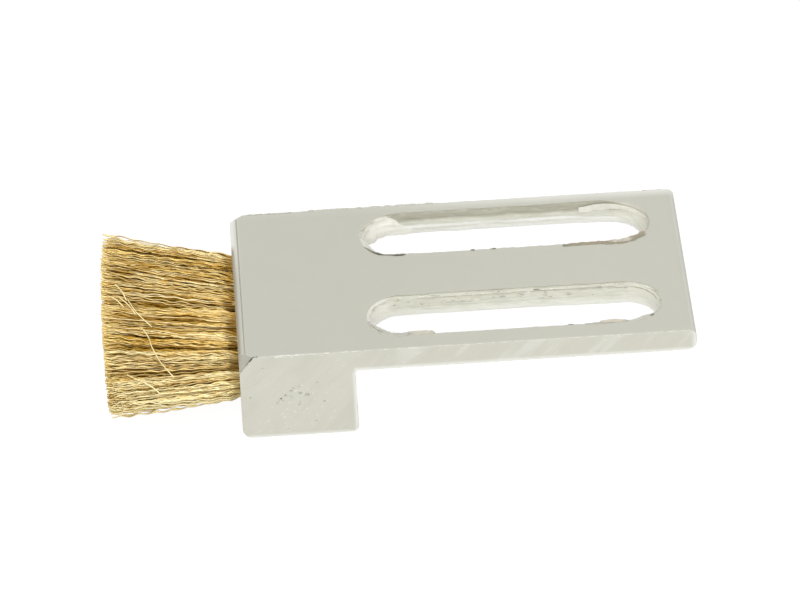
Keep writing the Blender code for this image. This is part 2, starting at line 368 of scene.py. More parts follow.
# %% Shared groups
def mottle_group():
    """A soft cloudy mask about one half."""
    inputs = (
        ("Vector", "NodeSocketVector", None), ("Patches per metre", "NodeSocketFloat", 100.0),
        ("Detail", "NodeSocketFloat", 3.0),
    )
    outputs = (("Mask", "NodeSocketFloat"),)
    writer, given, result = new_group("soft_mottle", "ShaderNodeTree", inputs, outputs)
    cloud = writer.add("ShaderNodeTexNoise", {
        "Vector": given.outputs["Vector"], "Scale": given.outputs["Patches per metre"],
        "Detail": given.outputs["Detail"], "Roughness": 0.55,
    })
    writer.feed(result.inputs["Mask"], cloud)
    return writer.tree


def lines_group():
    """Long lines along one direction of a stretched pattern, as a mask and a height."""
    inputs = (
        ("Vector", "NodeSocketVector", None), ("Turn", "NodeSocketVector", None),
        ("Stretch", "NodeSocketVector", None), ("Sharpness", "NodeSocketFloat", 0.15),
    )
    outputs = (("Mask", "NodeSocketFloat"), ("Height", "NodeSocketFloat"))
    writer, given, result = new_group("drawn_lines", "ShaderNodeTree", inputs, outputs)
    turned = writer.add("ShaderNodeVectorRotate", {
        "Vector": given.outputs["Vector"], "Rotation": given.outputs["Turn"],
    }, rotation_type="EULER_XYZ")
    stretched = writer.vector("MULTIPLY", turned.outputs[0], given.outputs["Stretch"])
    grain = writer.add("ShaderNodeTexNoise", {
        "Vector": stretched, "Scale": 1.0, "Detail": 4.0, "Roughness": 0.6,
    })
    low = writer.math("SUBTRACT", 0.5, given.outputs["Sharpness"])
    high = writer.math("ADD", 0.5, given.outputs["Sharpness"])
    writer.feed(result.inputs["Mask"], writer.ramp(grain.outputs[0], low, high))
    writer.feed(result.inputs["Height"], grain.outputs[0])
    return writer.tree


soft_mottle = mottle_group()
drawn_lines = lines_group()
print("shared groups:", soft_mottle.name, drawn_lines.name)


# %% Helpers for materials
def new_material(name):
    """A material with a Principled shader, and a writer for its tree."""
    material = bpy.data.materials.new(name)
    material.use_nodes = True
    return material, TreeWriter(material.node_tree), material.node_tree.nodes["Principled BSDF"]


def place_group(writer, tree, inputs):
    """A node group in a material, with its inputs fed."""
    return writer.feed_all(writer.add("ShaderNodeGroup", node_tree=tree), inputs)


def mottle(writer, where, patches, detail=3.0):
    return place_group(writer, soft_mottle, {"Vector": where, "Patches per metre": patches, "Detail": detail})


def lines(writer, where, slant, stretch, sharpness):
    """Drawn lines, turned about Y by an angle in degrees."""
    return place_group(writer, drawn_lines, {
        "Vector": where, "Turn": (0, math.radians(slant), 0), "Stretch": stretch, "Sharpness": sharpness,
    })


# %% [markdown]
# ## Plastic of the holder
# The holder is natural plastic, pale grey with a little beige. Its top is the smooth skin of the sheet
# that it was sawn from. Its long sides carry slanting saw marks, and the slot walls are freshly milled
# and a little lighter, with painted light towards their foot and painted shade under their rims. A
# picture of plastic could be wrapped round it, but every mark here follows from a face's direction and
# place, so the object's own coordinates and normals are enough.

# %% Colours of the plastic, and places on the holder
PLASTIC_TOP = (0.606, 0.599, 0.517, 1)
PLASTIC_FRESH = (0.690, 0.685, 0.590, 1)
PLASTIC_SCRATCH_AND_SHADE = (0.455, 0.440, 0.355, 1)
PLASTIC_EDGE = (0.880, 0.880, 0.820, 1)
PARED_PAINTED_LIGHT = (0.930, 0.930, 0.880, 1)
PARED_PAINTED_SHADE = (0.430, 0.425, 0.365, 1)
PLASTIC_GLOW_DEPTH = (0.0012, 0.0011, 0.0009)
SAW_STREAK = (0.745, 0.742, 0.680, 1)
BRASS_GLOW = (0.320, 0.262, 0.165, 1)
WALL_HIGH = (0.660, 0.652, 0.545, 1)
WALL_LOW = (0.860, 0.862, 0.770, 1)
WALL_SHINE = (1.0, 1.0, 0.97, 1)
FLAP_CREAM = (1.0, 0.982, 0.895, 1)

END_X, TAIL_X = holder_low.x, holder_high.x
FRONT_Y, BACK_Y = holder_low.y, holder_high.y
TOP_Z = holder_high.z
UNDER_Z = 9.9 * MM
SHOULDER_X = END_X + 15.2 * MM
# The torn flap in the back slot's left end: where its top starts to fall, how high it is, and its slope
FLAP_START_X, FLAP_TOP_Z, FLAP_FALL = -0.2 * MM, 12.85 * MM, 0.62


# %% What the plastic reads at each point
class HolderSurface:
    """The place and facing of a point of the holder, the patterns there, and the part it lies on."""

    def __init__(self, writer):
        spot = writer.add("ShaderNodeTexCoord")
        where = spot.outputs["Object"]
        self.x, self.y, self.z = writer.split(where)
        self.facing_x, self.facing_y, self.facing_z = writer.split(spot.outputs["Normal"])
        # What the cutter left: upright walls in the slots, and whatever lies between the plate's skins
        in_slots = writer.product(
            writer.inside(self.x, -4.6 * MM, 35.8 * MM, 0.1 * MM),
            writer.inside(writer.math("ABSOLUTE", self.y), 4.2 * MM, 14.3 * MM, 0.1 * MM))
        upright = writer.ramp(writer.math("ABSOLUTE", self.facing_z), 0.75, 0.45)
        between_skins = writer.inside(self.z, 9.94 * MM, 12.96 * MM, 0.02 * MM)
        self.milled = writer.product(in_slots, writer.math("MAXIMUM", upright, between_skins))
        self.outside = writer.math("SUBTRACT", 1.0, in_slots)
        self.sideways = writer.ramp(writer.math("ABSOLUTE", self.facing_y), 0.6, 0.9)
        self.on_top = writer.ramp(self.facing_z, 0.2, 0.5)
        self.clouds = mottle(writer, where, 160.0)
        self.grain = mottle(writer, where, 3800.0, 2.0)
        self.flecks = mottle(writer, where, 2300.0, 1.0)
        self.saw = lines(writer, where, 47, (75, 400, 420), 0.14)
        self.mill = lines(writer, where, 0, (480, 480, 2500), 0.12)
        self.scratches = lines(writer, where, 36, (420, 900, 3800), 0.06)


# %% Skin and sawn sides
def skin_colour(writer, at):
    """The smooth top, and the slanting saw marks, streaks, scratches and chips of the long sides."""
    maths, ramp, product, inside = writer.math, writer.ramp, writer.product, writer.inside
    # A little lighter here and there, and towards the tail
    lighter = maths("ADD", ramp(at.clouds, 0.35, 0.65, 0.0, 0.08), ramp(at.x, -8 * MM, 24 * MM, 0.0, 0.22))
    colour = writer.mix(lighter, PLASTIC_TOP, PLASTIC_FRESH)
    # The saw's smear and its pale streaks, which are stronger away from the block
    sawn = product(at.sideways, at.outside)
    smear = maths("ADD", 0.10, maths("MULTIPLY", at.clouds, 0.26))
    colour = writer.mix(product(sawn, at.saw, smear), colour, PLASTIC_FRESH)
    streak = ramp(at.saw.outputs["Height"], 0.50, 0.62)
    colour = writer.mix(product(sawn, streak, ramp(at.x, -8 * MM, 4 * MM, 0.10, 0.48)), colour, SAW_STREAK)
    # Fine scratches, both pale and dark, and small pale chips on the block
    scratch, cloudy = at.scratches.outputs["Height"], ramp(at.clouds, 0.46, 0.56)
    bright = product(sawn, ramp(scratch, 0.62, 0.70), cloudy, 0.42)
    chipped = product(inside(at.x, -17.0 * MM, -9.5 * MM, 1.5 * MM),
                      inside(at.z, 2.5 * MM, 9.0 * MM, 1.5 * MM), 0.30)
    flecks = product(sawn, ramp(at.flecks, 0.66, 0.72), maths("ADD", 0.12, chipped))
    colour = writer.mix(maths("MAXIMUM", bright, flecks), colour, PLASTIC_EDGE)
    dark = product(sawn, ramp(scratch, 0.37, 0.31), cloudy, 0.30)
    return writer.mix(dark, colour, PLASTIC_SCRATCH_AND_SHADE)


# %% [markdown]
# ## Walls and edges of the plastic
# Seen from near, a milled wall isn't one colour. Painted shade lies under the rims and in the recesses
# above the ledges, a painted shine lies low down, the slots' ends are torn cream plastic with painted
# light on them, and the edges get a painted pale glow. Each such mark is a mask: a few plain tests of
# height, length and direction, multiplied together, so that the mark is there only where all of them
# hold. Its colour is then mixed in by the mask.

# %% Milled walls
def wall_colour(writer, at):
    """The slots' walls: painted shade under the rims and in recesses, a painted shine low down, and cream
    ends.
    """
    maths, ramp, product, inside = writer.math, writer.ramp, writer.product, writer.inside
    x, y, z = at.x, at.y, at.z
    # Painted light at the foot and painted shade under the rim, with the cutter's ridges
    ridged = ramp(at.mill.outputs["Height"], 0.38, 0.62, -0.22, 0.22)
    wall = writer.mix(maths("ADD", ramp(z, UNDER_Z, TOP_Z), ridged), WALL_LOW, WALL_HIGH)
    wavy_z = maths("ADD", z, maths("MULTIPLY", maths("SUBTRACT", at.clouds, 0.5), 0.25 * MM))
    # Less painted shade high on the front slot's wall; then painted shade in the recess above the back
    # slot's ledge, under the front slot's rim and in the groove below it, and a faint dark line lower down
    back_wall = ramp(y, 12.0 * MM, 13.0 * MM)
    front_wall = inside(y, -8.5 * MM, 0.0, 0.5 * MM)
    wall = writer.mix(product(front_wall, ramp(z, 11.4 * MM, 12.2 * MM), 0.42), wall, WALL_LOW)
    run = inside(x, -1.0 * MM, 31.6 * MM, 1.0 * MM)
    for line in (
            (ramp(wavy_z, 11.70 * MM, 11.88 * MM), run, back_wall, ramp(x, 27.5 * MM, 30.5 * MM, 0.80, 0.40)),
            (ramp(z, 12.82 * MM, 12.87 * MM), front_wall, run, 0.80),
            (inside(wavy_z, 12.43 * MM, 12.60 * MM, 0.03 * MM), front_wall, ramp(x, 2 * MM, 5 * MM), 0.62),
            (inside(wavy_z, 11.12 * MM, 11.28 * MM, 0.05 * MM), front_wall, 0.25)):
        wall = writer.mix(product(*line), wall, PLASTIC_SCRATCH_AND_SHADE)
    # Painted shine low on the walls, with a brighter painted glint along the back slot
    low_z = maths("ADD", z, ramp(x, 24 * MM, 29 * MM, 0.0, 0.35 * MM))
    glint = product(inside(low_z, 10.80 * MM, 11.18 * MM, 0.10 * MM), back_wall, run, 0.85)
    low_shine = maths("ADD", 0.35, maths("MULTIPLY", back_wall, 0.30))
    low_shine = maths("MULTIPLY", ramp(z, 10.75 * MM, 10.35 * MM), low_shine)
    wall = writer.mix(maths("MAXIMUM", glint, low_shine), wall, WALL_SHINE)
    # The torn flap and the pale ends: cream of torn plastic, and painted light where the ends lie in shade
    past_start = maths("MAXIMUM", maths("SUBTRACT", x, FLAP_START_X), 0.0)
    flap_top = maths("SUBTRACT", FLAP_TOP_Z, maths("MULTIPLY", FLAP_FALL, past_start))
    flap = product(ramp(maths("SUBTRACT", flap_top, z), -0.05 * MM, 0.05 * MM),
                   ramp(x, 3.6 * MM, 3.2 * MM), ramp(y, 6.0 * MM, 8.0 * MM))
    pale_ends = maths("ADD", maths("MULTIPLY", ramp(x, 0.5 * MM, -1.8 * MM), 0.8),
                      maths("MULTIPLY", ramp(x, 29.5 * MM, 32.5 * MM), 0.45))
    creamy = ramp(maths("ADD", at.clouds, ramp(x, -3 * MM, 2 * MM, 0.10, -0.06)), 0.40, 0.62, 0.58, 0.95)
    return writer.mix(product(maths("MAXIMUM", flap, pale_ends), creamy), wall, FLAP_CREAM)


# %% Worn edges
def edge_group():
    """One at a place on an axis, falling to nought within a reach, on faces that don't look along it."""
    inputs = (
        ("Value", "NodeSocketFloat", 0.0), ("Facing", "NodeSocketFloat", 0.0),
        ("Edge", "NodeSocketFloat", 0.0), ("Reach", "NodeSocketFloat", 0.001),
    )
    outputs = (("Mask", "NodeSocketFloat"),)
    writer, given, result = new_group("painted_edge_glow", "ShaderNodeTree", inputs, outputs)
    away = writer.math("ABSOLUTE", writer.math("SUBTRACT", given.outputs["Value"], given.outputs["Edge"]))
    near = writer.ramp(writer.math("DIVIDE", away, given.outputs["Reach"]), 0.0, 1.0, 1.0, 0.0)
    across = writer.ramp(writer.math("ABSOLUTE", given.outputs["Facing"]), 0.5, 0.85, 1.0, 0.0)
    writer.feed(result.inputs["Mask"], writer.math("MULTIPLY", near, across))
    return writer.tree


painted_edge_glow = edge_group()


def painted_edge_light(writer, at, colour):
    """Painted glow along the edges, painted light and shade on the pared corners, and a painted brass
    reflection.
    """
    maths, ramp, product = writer.math, writer.ramp, writer.product
    x, y, z, facing_x, facing_y, facing_z = at.x, at.y, at.z, at.facing_x, at.facing_y, at.facing_z
    # Each edge: the axis and its facing, its place, its reach in millimetres, its strength, and its part
    glowing_edges = (
        (y, facing_y, BACK_Y, 1.9, 0.80, ramp(x, -8 * MM, 24 * MM, 0.12, 1.0)),
        (y, facing_y, FRONT_Y, 0.35, 0.25, 1.0),
        (x, facing_x, TAIL_X, 0.9, 0.80, 1.0),
        (x, facing_x, END_X, 1.35, 1.10, product(at.on_top, ramp(y, 0.0, 11 * MM, 0.10, 1.0))),
        (z, facing_z, 0.0, 0.60, 0.85, 1.0),
        (z, facing_z, UNDER_Z, 0.65, 0.85, ramp(x, -6.3 * MM, -5.7 * MM)),
        (x, facing_x, SHOULDER_X + 0.15 * MM, 0.75, 0.85, ramp(z, 9.9 * MM, 9.4 * MM)),
    )
    # Painted glow along each edge, patchy, and only off the slots
    patchy = maths("ADD", 0.7, maths("MULTIPLY", at.clouds, 0.6))
    for value, facing, edge, reach, strength, part in glowing_edges:
        edge_glow_mask = place_group(writer, painted_edge_glow, {
            "Value": value, "Facing": facing, "Edge": edge, "Reach": reach * MM,
        })
        colour = writer.mix(product(edge_glow_mask, strength, patchy, part, at.outside), colour, PLASTIC_EDGE)
    # Painted light on the back pared corner and painted shade on the front one, by the way each faces
    upwards = ramp(facing_z, 0.15, 0.30)
    paler = product(ramp(facing_x, -0.20, -0.35), ramp(facing_y, 0.20, 0.35), upwards, at.outside)
    colour = writer.mix(paler, colour, PARED_PAINTED_LIGHT)
    darker = product(ramp(facing_x, -0.25, -0.40), ramp(facing_y, -0.25, -0.40), upwards, at.outside, 0.85)
    colour = writer.mix(darker, colour, PARED_PAINTED_SHADE)
    # Painted reflection of the brass on the slope over the wires
    brass_reflection = product(ramp(x, -20.52 * MM, -21.12 * MM), at.on_top,
                     writer.inside(y, -15.2 * MM, 8.9 * MM, 1.0 * MM), 0.92)
    return writer.mix(brass_reflection, colour, BRASS_GLOW)


# %% Plastic
def plastic_material():
    material, writer, shader = new_material("holder_plastic_worn")
    at = HolderSurface(writer)
    colour = writer.mix(at.milled, skin_colour(writer, at), wall_colour(writer, at))
    height = writer.total(
        writer.product(at.grain, 0.18), writer.product(at.clouds, 0.25),
        writer.product(at.sideways, at.saw.outputs["Height"], 0.5),
        writer.product(at.milled, at.mill.outputs["Height"], 1.6))
    writer.feed_all(shader, {
        "Base Color": painted_edge_light(writer, at, colour), "Specular IOR Level": 0.35,
        "Roughness": writer.ramp(at.grain, 0.3, 0.7, 0.46, 0.60),
        "Subsurface Weight": 0.12, "Subsurface Scale": 1.0, "Subsurface Radius": PLASTIC_GLOW_DEPTH,
        "Normal": writer.bump(height, 0.5, 0.08 * MM),
    })
    return material


plastic = plastic_material()
print("plastic has", len(plastic.node_tree.nodes), "nodes")

# %% [markdown]
# ## Burr finish
# A thin curl of plastic lets light through. Some curls on this holder are paler than the plate, others
# are tan or brown, and the darkest tones stand partly for dark curls and partly for painted shade along
# some rims and at the front corner. One material for each colour would work, but a colour ramp does it
# with a single one: every burr carries its own tone as a number at its points, and the ramp turns that
# number into a colour.

# %% Burr material
BURR_TONES = [
    (0.0, (0.930, 0.912, 0.800, 1)), (0.2, (0.700, 0.690, 0.600, 1)), (0.35, (0.520, 0.510, 0.440, 1)),
    (0.5, (0.720, 0.660, 0.530, 1)), (0.65, (0.420, 0.355, 0.240, 1)), (0.8, (0.310, 0.300, 0.220, 1)),
    (1.0, (0.100, 0.100, 0.075, 1)),
]
BURR_GLOW_DEPTH = (0.0008, 0.0007, 0.0005)


def burr_material():
    material, writer, shader = new_material("burr_plastic")
    tone = writer.add("ShaderNodeAttribute", attribute_name="burr_tone").outputs["Fac"]
    where = writer.add("ShaderNodeTexCoord").outputs["Object"]
    patches = mottle(writer, where, 1500.0)
    tone = writer.math("ADD", tone, writer.math("MULTIPLY", writer.math("SUBTRACT", patches, 0.5), 0.10))
    palette = writer.add("ShaderNodeValToRGB", {"Fac": tone})
    stops = palette.color_ramp.elements
    stops[0].color, stops[-1].color = BURR_TONES[0][1], BURR_TONES[-1][1]
    for place, colour in BURR_TONES[1:-1]:
        stops.new(place).color = colour
    writer.feed_all(shader, {
        "Base Color": palette.outputs["Color"], "Roughness": writer.ramp(patches, 0.3, 0.7, 0.42, 0.62),
        "Subsurface Weight": 0.2, "Subsurface Scale": 1.0, "Subsurface Radius": BURR_GLOW_DEPTH,
        "Normal": writer.bump(patches, 0.4, 0.03 * MM),
    })
    return material


burr_plastic = burr_material()
print("burr tones:", len(BURR_TONES), "from cream to dark")

# %% [markdown]
# ## Brass and steel
# Brass wire is bare metal, so its colour is the colour of its reflections. No two wires are quite
# alike: some are brighter and some have gone brown. Painted light and shade come on top: paler where a
# wire faces up and at its tip, browner deep in the bundle, low in a tuft and near the root, and whole
# tufts lit or shaded by a painted amount. A pattern in space would run across neighbouring wires and
# join them. So each wire has a tone of its own, and each of its points knows how far out and how deep
# in the bundle it lies. The anchors are plain drawn flat wire, with fine lines along their length.

# %% Brass
BRASS_PALE = (0.99, 0.875, 0.51, 1)
BRASS_LIGHT = (1.0, 0.89, 0.53, 1)
BRASS_WARM = (0.95, 0.735, 0.28, 1)
BRASS_TIP = (0.99, 0.800, 0.35, 1)
BRASS_BROWN = (0.55, 0.312, 0.030, 1)
BRASS_RIM = (0.82, 0.54, 0.14, 1)


def brass_material():
    material, writer, shader = new_material("bristle_brass_wire")
    maths, ramp = writer.math, writer.ramp
    tone, along, buried = (writer.add("ShaderNodeAttribute", attribute_name=name).outputs["Fac"]
                           for name in ("wire_tone", "wire_along", "wire_buried"))
    spot = writer.add("ShaderNodeTexCoord")
    where, upwards = spot.outputs["Object"], writer.split(spot.outputs["Normal"])[2]
    streaks = lines(writer, where, 0, (130, 720, 720), 0.12).outputs["Height"]
    stains = mottle(writer, where, 1500.0)
    # From warm to pale by the wire's own tone, with painted light where it faces up
    pale = maths("MULTIPLY", ramp(tone, 0.0, 1.0), ramp(upwards, -0.3, 0.6, 0.2, 1.0))
    colour = writer.mix(pale, BRASS_WARM, BRASS_PALE)
    # Painted light at the tips, which are paler and warmer
    colour = writer.mix(ramp(along, 0.78, 1.0, 0.0, 0.60), colour, BRASS_TIP)
    # Brown from painted shade in the depth and on the undersides, and from the wire's own streaks and
    # stains; less at the tips and on the wires with painted light
    brown = writer.total(
        ramp(buried, 0.0, 1.0, 0.0, 0.85), ramp(streaks, 0.50, 0.66, 0.0, 0.55),
        ramp(upwards, 0.1, -0.7, 0.0, 0.30), ramp(stains, 0.60, 0.72, 0.0, 0.30))
    # Painted light on wires whose tone goes past one: the palest tufts and the bent wires
    lit = ramp(tone, 0.9, 1.4)
    brown = writer.product(
        maths("MINIMUM", brown, 0.95), ramp(along, 0.80, 1.0, 1.0, 0.25), ramp(lit, 0.0, 1.0, 1.0, 0.35))
    colour = writer.mix(lit, colour, BRASS_LIGHT)
    colour = writer.mix(brown, colour, BRASS_BROWN)
    writer.feed_all(shader, {
        "Base Color": colour, "Metallic": 1.0, "Specular Tint": BRASS_RIM,
        "Roughness": ramp(stains, 0.3, 0.7, 0.36, 0.52),
    })
    return material


# %% Steel
STEEL, STEEL_STAIN = (0.62, 0.62, 0.63, 1), (0.42, 0.41, 0.40, 1)


def steel_material():
    material, writer, shader = new_material("anchor_steel_drawn")
    where = writer.add("ShaderNodeTexCoord").outputs["Object"]
    drawn = lines(writer, where, 0, (9000, 9000, 300), 0.2)
    stained = writer.math("MULTIPLY", mottle(writer, where, 700.0), drawn)
    writer.feed_all(shader, {
        "Base Color": writer.mix(stained, STEEL, STEEL_STAIN), "Metallic": 1.0,
        "Roughness": writer.ramp(drawn, 0.0, 1.0, 0.26, 0.40),
        "Normal": writer.bump(drawn.outputs["Height"], 0.3, 0.01 * MM),
    })
    return material


brass = brass_material()
steel = steel_material()
print("metals:", brass.name, steel.name)

# %% [markdown]
# ## Holder: the sawn body
# The holder is cut from one bar, so its side view is the same all the way across. Drawing that side
# view once and pulling it across the width gives the whole stepped body. The pull is done in four
# slices: the outer two are shrunk by a small, uneven amount, which breaks the long edges the way a saw
# and a scraper do. A bevel would make them too even.

# %% Side view of the holder
FLAT_LENGTH, FLAT_DROP = 0.86 * MM, 0.4 * MM
GROOVE_WIDTH, GROOVE_DEPTH = 0.20 * MM, 0.18 * MM
OUTLINE_STEP = 0.45 * MM
EDGE_BREAK, EDGE_BREAK_CHANGE, LEAST_BREAK = 0.05 * MM, 0.08 * MM, 0.02 * MM
FRONT_LEAN, SHOULDER_LEAN = 0.40 * MM, 0.22 * MM


def front_y(z):
    """The sawn front side, which comes forward a little towards the foot."""
    return FRONT_Y - FRONT_LEAN * (1 - z / TOP_Z)


def arc(before, corner, after, radius, count):
    """Points that round one square corner."""
    here = Vector(corner)
    back, ahead = (Vector(before) - here).normalized(), (Vector(after) - here).normalized()
    middle = here + (back + ahead) * radius
    turns = [math.pi / 2 * k / count for k in range(count + 1)]
    return [middle - ahead * radius * math.cos(t) - back * radius * math.sin(t) for t in turns]


def holder_side_view():
    """The outline of the holder seen from the front, as points of length and height."""
    crease_x = END_X + FLAT_LENGTH
    corners = [
        ((END_X, 0), 1.4 * MM), ((SHOULDER_X + SHOULDER_LEAN, 0), 1.0 * MM),
        ((SHOULDER_X, UNDER_Z), 0.5 * MM), ((TAIL_X, UNDER_Z), 1.2 * MM), ((TAIL_X, TOP_Z), 1.1 * MM),
        ((crease_x + GROOVE_WIDTH / 2, TOP_Z), 0), ((crease_x, TOP_Z - GROOVE_DEPTH), 0),
        ((crease_x - GROOVE_WIDTH / 2, TOP_Z - 0.03 * MM), 0), ((END_X, TOP_Z - FLAT_DROP), 0),
    ]
    points = []
    for k, (corner, radius) in enumerate(corners):
        before, after = corners[k - 1][0], corners[(k + 1) % len(corners)][0]
        points += arc(before, corner, after, radius, 8) if radius else [Vector(corner)]
    fine = []
    for k, point in enumerate(points):
        following = points[(k + 1) % len(points)]
        count = max(1, round((following - point).length / OUTLINE_STEP))
        fine += [point.lerp(following, j / count) for j in range(count)]
    return fine


# %% Body of the holder
def shrunk(points, seed):
    """The outline drawn in by a small uneven amount, and how far each point moved."""
    moved, amounts = [], []
    for k, point in enumerate(points):
        along = (points[(k + 1) % len(points)] - points[k - 1]).normalized()
        inwards = Vector((-along.y, along.x))
        rough = noise.noise(pattern_place(point.x, point.y, 0.9 * MM, seed))
        fine = noise.noise(pattern_place(point.x, point.y, 0.35 * MM, seed + 9))
        amount = max(LEAST_BREAK, EDGE_BREAK + EDGE_BREAK_CHANGE * (0.9 * rough + 0.5 * fine))
        moved.append(point + inwards * amount)
        amounts.append(amount)
    return moved, amounts


def build_body():
    outline = holder_side_view()
    rings = []
    for side, sign, seed in ((front_y, 1, 1.5), (lambda z: BACK_Y, -1, 7.5)):
        inner, amounts = shrunk(outline, seed)
        outer_ring = [(p.x, side(p.y), p.y) for p in inner]
        full_ring = [(p.x, side(p.y) + sign * a, p.y) for p, a in zip(outline, amounts)]
        rings += [outer_ring, full_ring] if sign > 0 else [full_ring, outer_ring]
    count = len(outline)
    faces = [list(range(count)), list(range(3 * count, 4 * count)), *side_faces(len(rings), count)]
    body = mesh_object("holder_worn", [v for ring in rings for v in ring], faces)
    bm = bmesh.new()
    bm.from_mesh(body.data)
    bmesh.ops.recalc_face_normals(bm, faces=bm.faces)
    bmesh.ops.dissolve_limit(bm, angle_limit=math.radians(0.05), verts=bm.verts, edges=bm.edges)
    bm.to_mesh(body.data)
    bm.free()
    return body


holder = build_body()
print("body:", len(holder.data.vertices), "points,", len(holder.data.polygons), "faces")

# %% [markdown]
# ## Holder: the slots
# Both slots were milled with a blunt cutter. Their walls are wavy in long low ridges, their rims are
# ragged, and the plate's skin overhangs the wall here and there as a thin lip. Each slot was cut in two
# passes that don't meet, which leaves a narrow ledge along its back wall, and the wall leans near the
# ends. A Boolean with a plain slot would leave glassy walls, so the cutter itself is modelled with all
# of this in its surface, and the holder inherits it.

# %% Slots
SLOT_START_X, SLOT_END_X = -3.95 * MM, 35.15 * MM
SLOTS = {"front_slot": (-8.95 * MM, 4.25 * MM), "back_slot": (9.20 * MM, 4.50 * MM)}
RIM_STEP = 0.26 * MM
RIDGE, CHATTER, LIP, RIM_RAG = 0.12 * MM, 0.07 * MM, 0.13 * MM, 0.05 * MM
LIP_STARTS_Z, LIP_FULL_Z = TOP_Z - 0.28 * MM, TOP_Z - 0.12 * MM
LEAN_FULL_Z, LEAN_ENDS_Z = UNDER_Z + 0.6 * MM, TOP_Z - 0.5 * MM
FLAP_THICKNESS, FLAP_RAG = 0.14 * MM, 0.15 * MM
CUTTER_STEP, CUTTER_OVERHANG = 0.14 * MM, 0.8 * MM
# How far the foot of a slot's back wall stands in, in millimetres, at places along X
LEANS = {
    "front_slot": [
        (-3.95, 0.55), (-2.0, 0.35), (-0.8, 0.12), (5, 0.0), (12, 0.0), (24, 0.08), (28.3, 0.18),
        (30.5, 0.15), (33, 0.0),
    ],
    "back_slot": [
        (-3.95, 0.20), (-3.2, 0.34), (-2.3, 0.80), (-1.6, 0.42), (-0.6, 0.36), (0.2, 0.15), (3, 0.05),
        (20, 0.0), (27, 0.10), (30, 0.22), (31.1, 0.45), (32.5, 0.70), (35.15, 0.75),
    ],
}
# The second cut of each slot: its depth, the heights of its ledge, and where it starts and ends along X
LEDGES = {
    "front_slot": (0.42, 12.72, 12.80, (-3.2, -0.2, 30.5, 33.0)),
    "back_slot": (0.55, 11.72, 11.86, (-2.5, 2.5, 28.5, 33.0)),
}


# %% The rim of a slot
def slot_point(slot, run):
    """A point of a slot's rim and its outward direction. The run starts at the left end's middle, goes
    along the front side to the right end, and comes back along the back side."""
    y, radius = SLOTS[slot]
    straight = SLOT_END_X - SLOT_START_X - 2 * radius
    quarter = math.pi * radius / 2
    run %= 4 * quarter + 2 * straight
    left, right_end = Vector((SLOT_START_X + radius, y)), Vector((SLOT_END_X - radius, y))
    if run < quarter:
        angle, middle = math.pi + run / radius, left
    elif run < quarter + straight:
        return Vector((left.x + run - quarter, y - radius)), Vector((0, -1))
    elif run < 3 * quarter + straight:
        angle, middle = -math.pi / 2 + (run - quarter - straight) / radius, right_end
    elif run < 3 * quarter + 2 * straight:
        return Vector((right_end.x - (run - 3 * quarter - straight), y + radius)), Vector((0, 1))
    else:
        angle, middle = math.pi / 2 + (run - 3 * quarter - 2 * straight) / radius, left
    outwards = Vector((math.cos(angle), math.sin(angle)))
    return middle + outwards * radius, outwards


def slot_length(slot):
    radius = SLOTS[slot][1]
    return 2 * math.pi * radius + 2 * (SLOT_END_X - SLOT_START_X - 2 * radius)


print("slot rims in mm:", {slot: round(slot_length(slot) / MM, 1) for slot in SLOTS})

# %% The milled wall of a slot
def between(table, place):
    """The value at one place of a line drawn through a table of places and values."""
    for (before, low), (after, high) in zip(table, table[1:]):
        if place <= after:
            return low + (high - low) * max(0.0, place - before) / (after - before)
    return table[-1][1]


def wall_offset(slot, spot, outwards, z):
    """How far the milled wall stands off its true line at one place. Outwards makes the slot wider."""
    x, y = spot
    # Long low ridges, with finer chatter on them
    coarse = pattern_place(x, y, 2.8 * MM, z / (0.55 * MM))
    fine = pattern_place(x, y, 0.7 * MM, z / (0.35 * MM))
    offset = RIDGE * noise.noise(coarse) + CHATTER * noise.noise(fine)
    # The skin's overhang and its ragged rim
    rim = pattern_place(x, y, 1.1 * MM, 3.3 if slot == "front_slot" else 8.1)
    lip = max(0.0, noise.noise(rim) + 0.25)
    offset -= LIP * lip * step(z, LIP_STARTS_Z, LIP_FULL_Z)
    offset += RIM_RAG * noise.noise(rim * 3) * step(z, TOP_Z - 0.3 * MM, TOP_Z)
    # The foot of the wall, which stands in near the ends
    lower = 1 - step(z, LEAN_FULL_Z, LEAN_ENDS_Z)
    lean = between(LEANS[slot], x / MM) * MM * step(outwards.y, -0.5, 0.1)
    offset -= lean * lower * (1 + 0.25 * noise.noise(rim * 2))
    # The second pass, which went less deep and left the ledge
    depth, ledge_low, ledge_high, (left_start, left_full, right_full, right_end) = LEDGES[slot]
    above = step(z / MM, ledge_low, ledge_high)
    at_left, at_right = step(x / MM, left_start, left_full), step(x / MM, right_full, right_end)
    offset += depth * MM * above * at_left * (1 - at_right) * step(outwards.y, 0.2, 0.8)
    if slot == "front_slot":
        offset -= depth * MM * (1 - above) * at_right * step(outwards.y, -0.1, 0.35)
    # The torn flap in the back slot's left end
    if slot == "back_slot" and outwards.y > -0.2 and x < 4 * MM:
        flap_top = FLAP_TOP_Z - FLAP_FALL * max(0.0, x - FLAP_START_X) + FLAP_RAG * noise.noise(fine)
        under_top = step(z, flap_top + 0.03 * MM, flap_top - 0.05 * MM)
        offset -= FLAP_THICKNESS * under_top * (1 - step(x, 2.9 * MM, 3.6 * MM))
    return offset


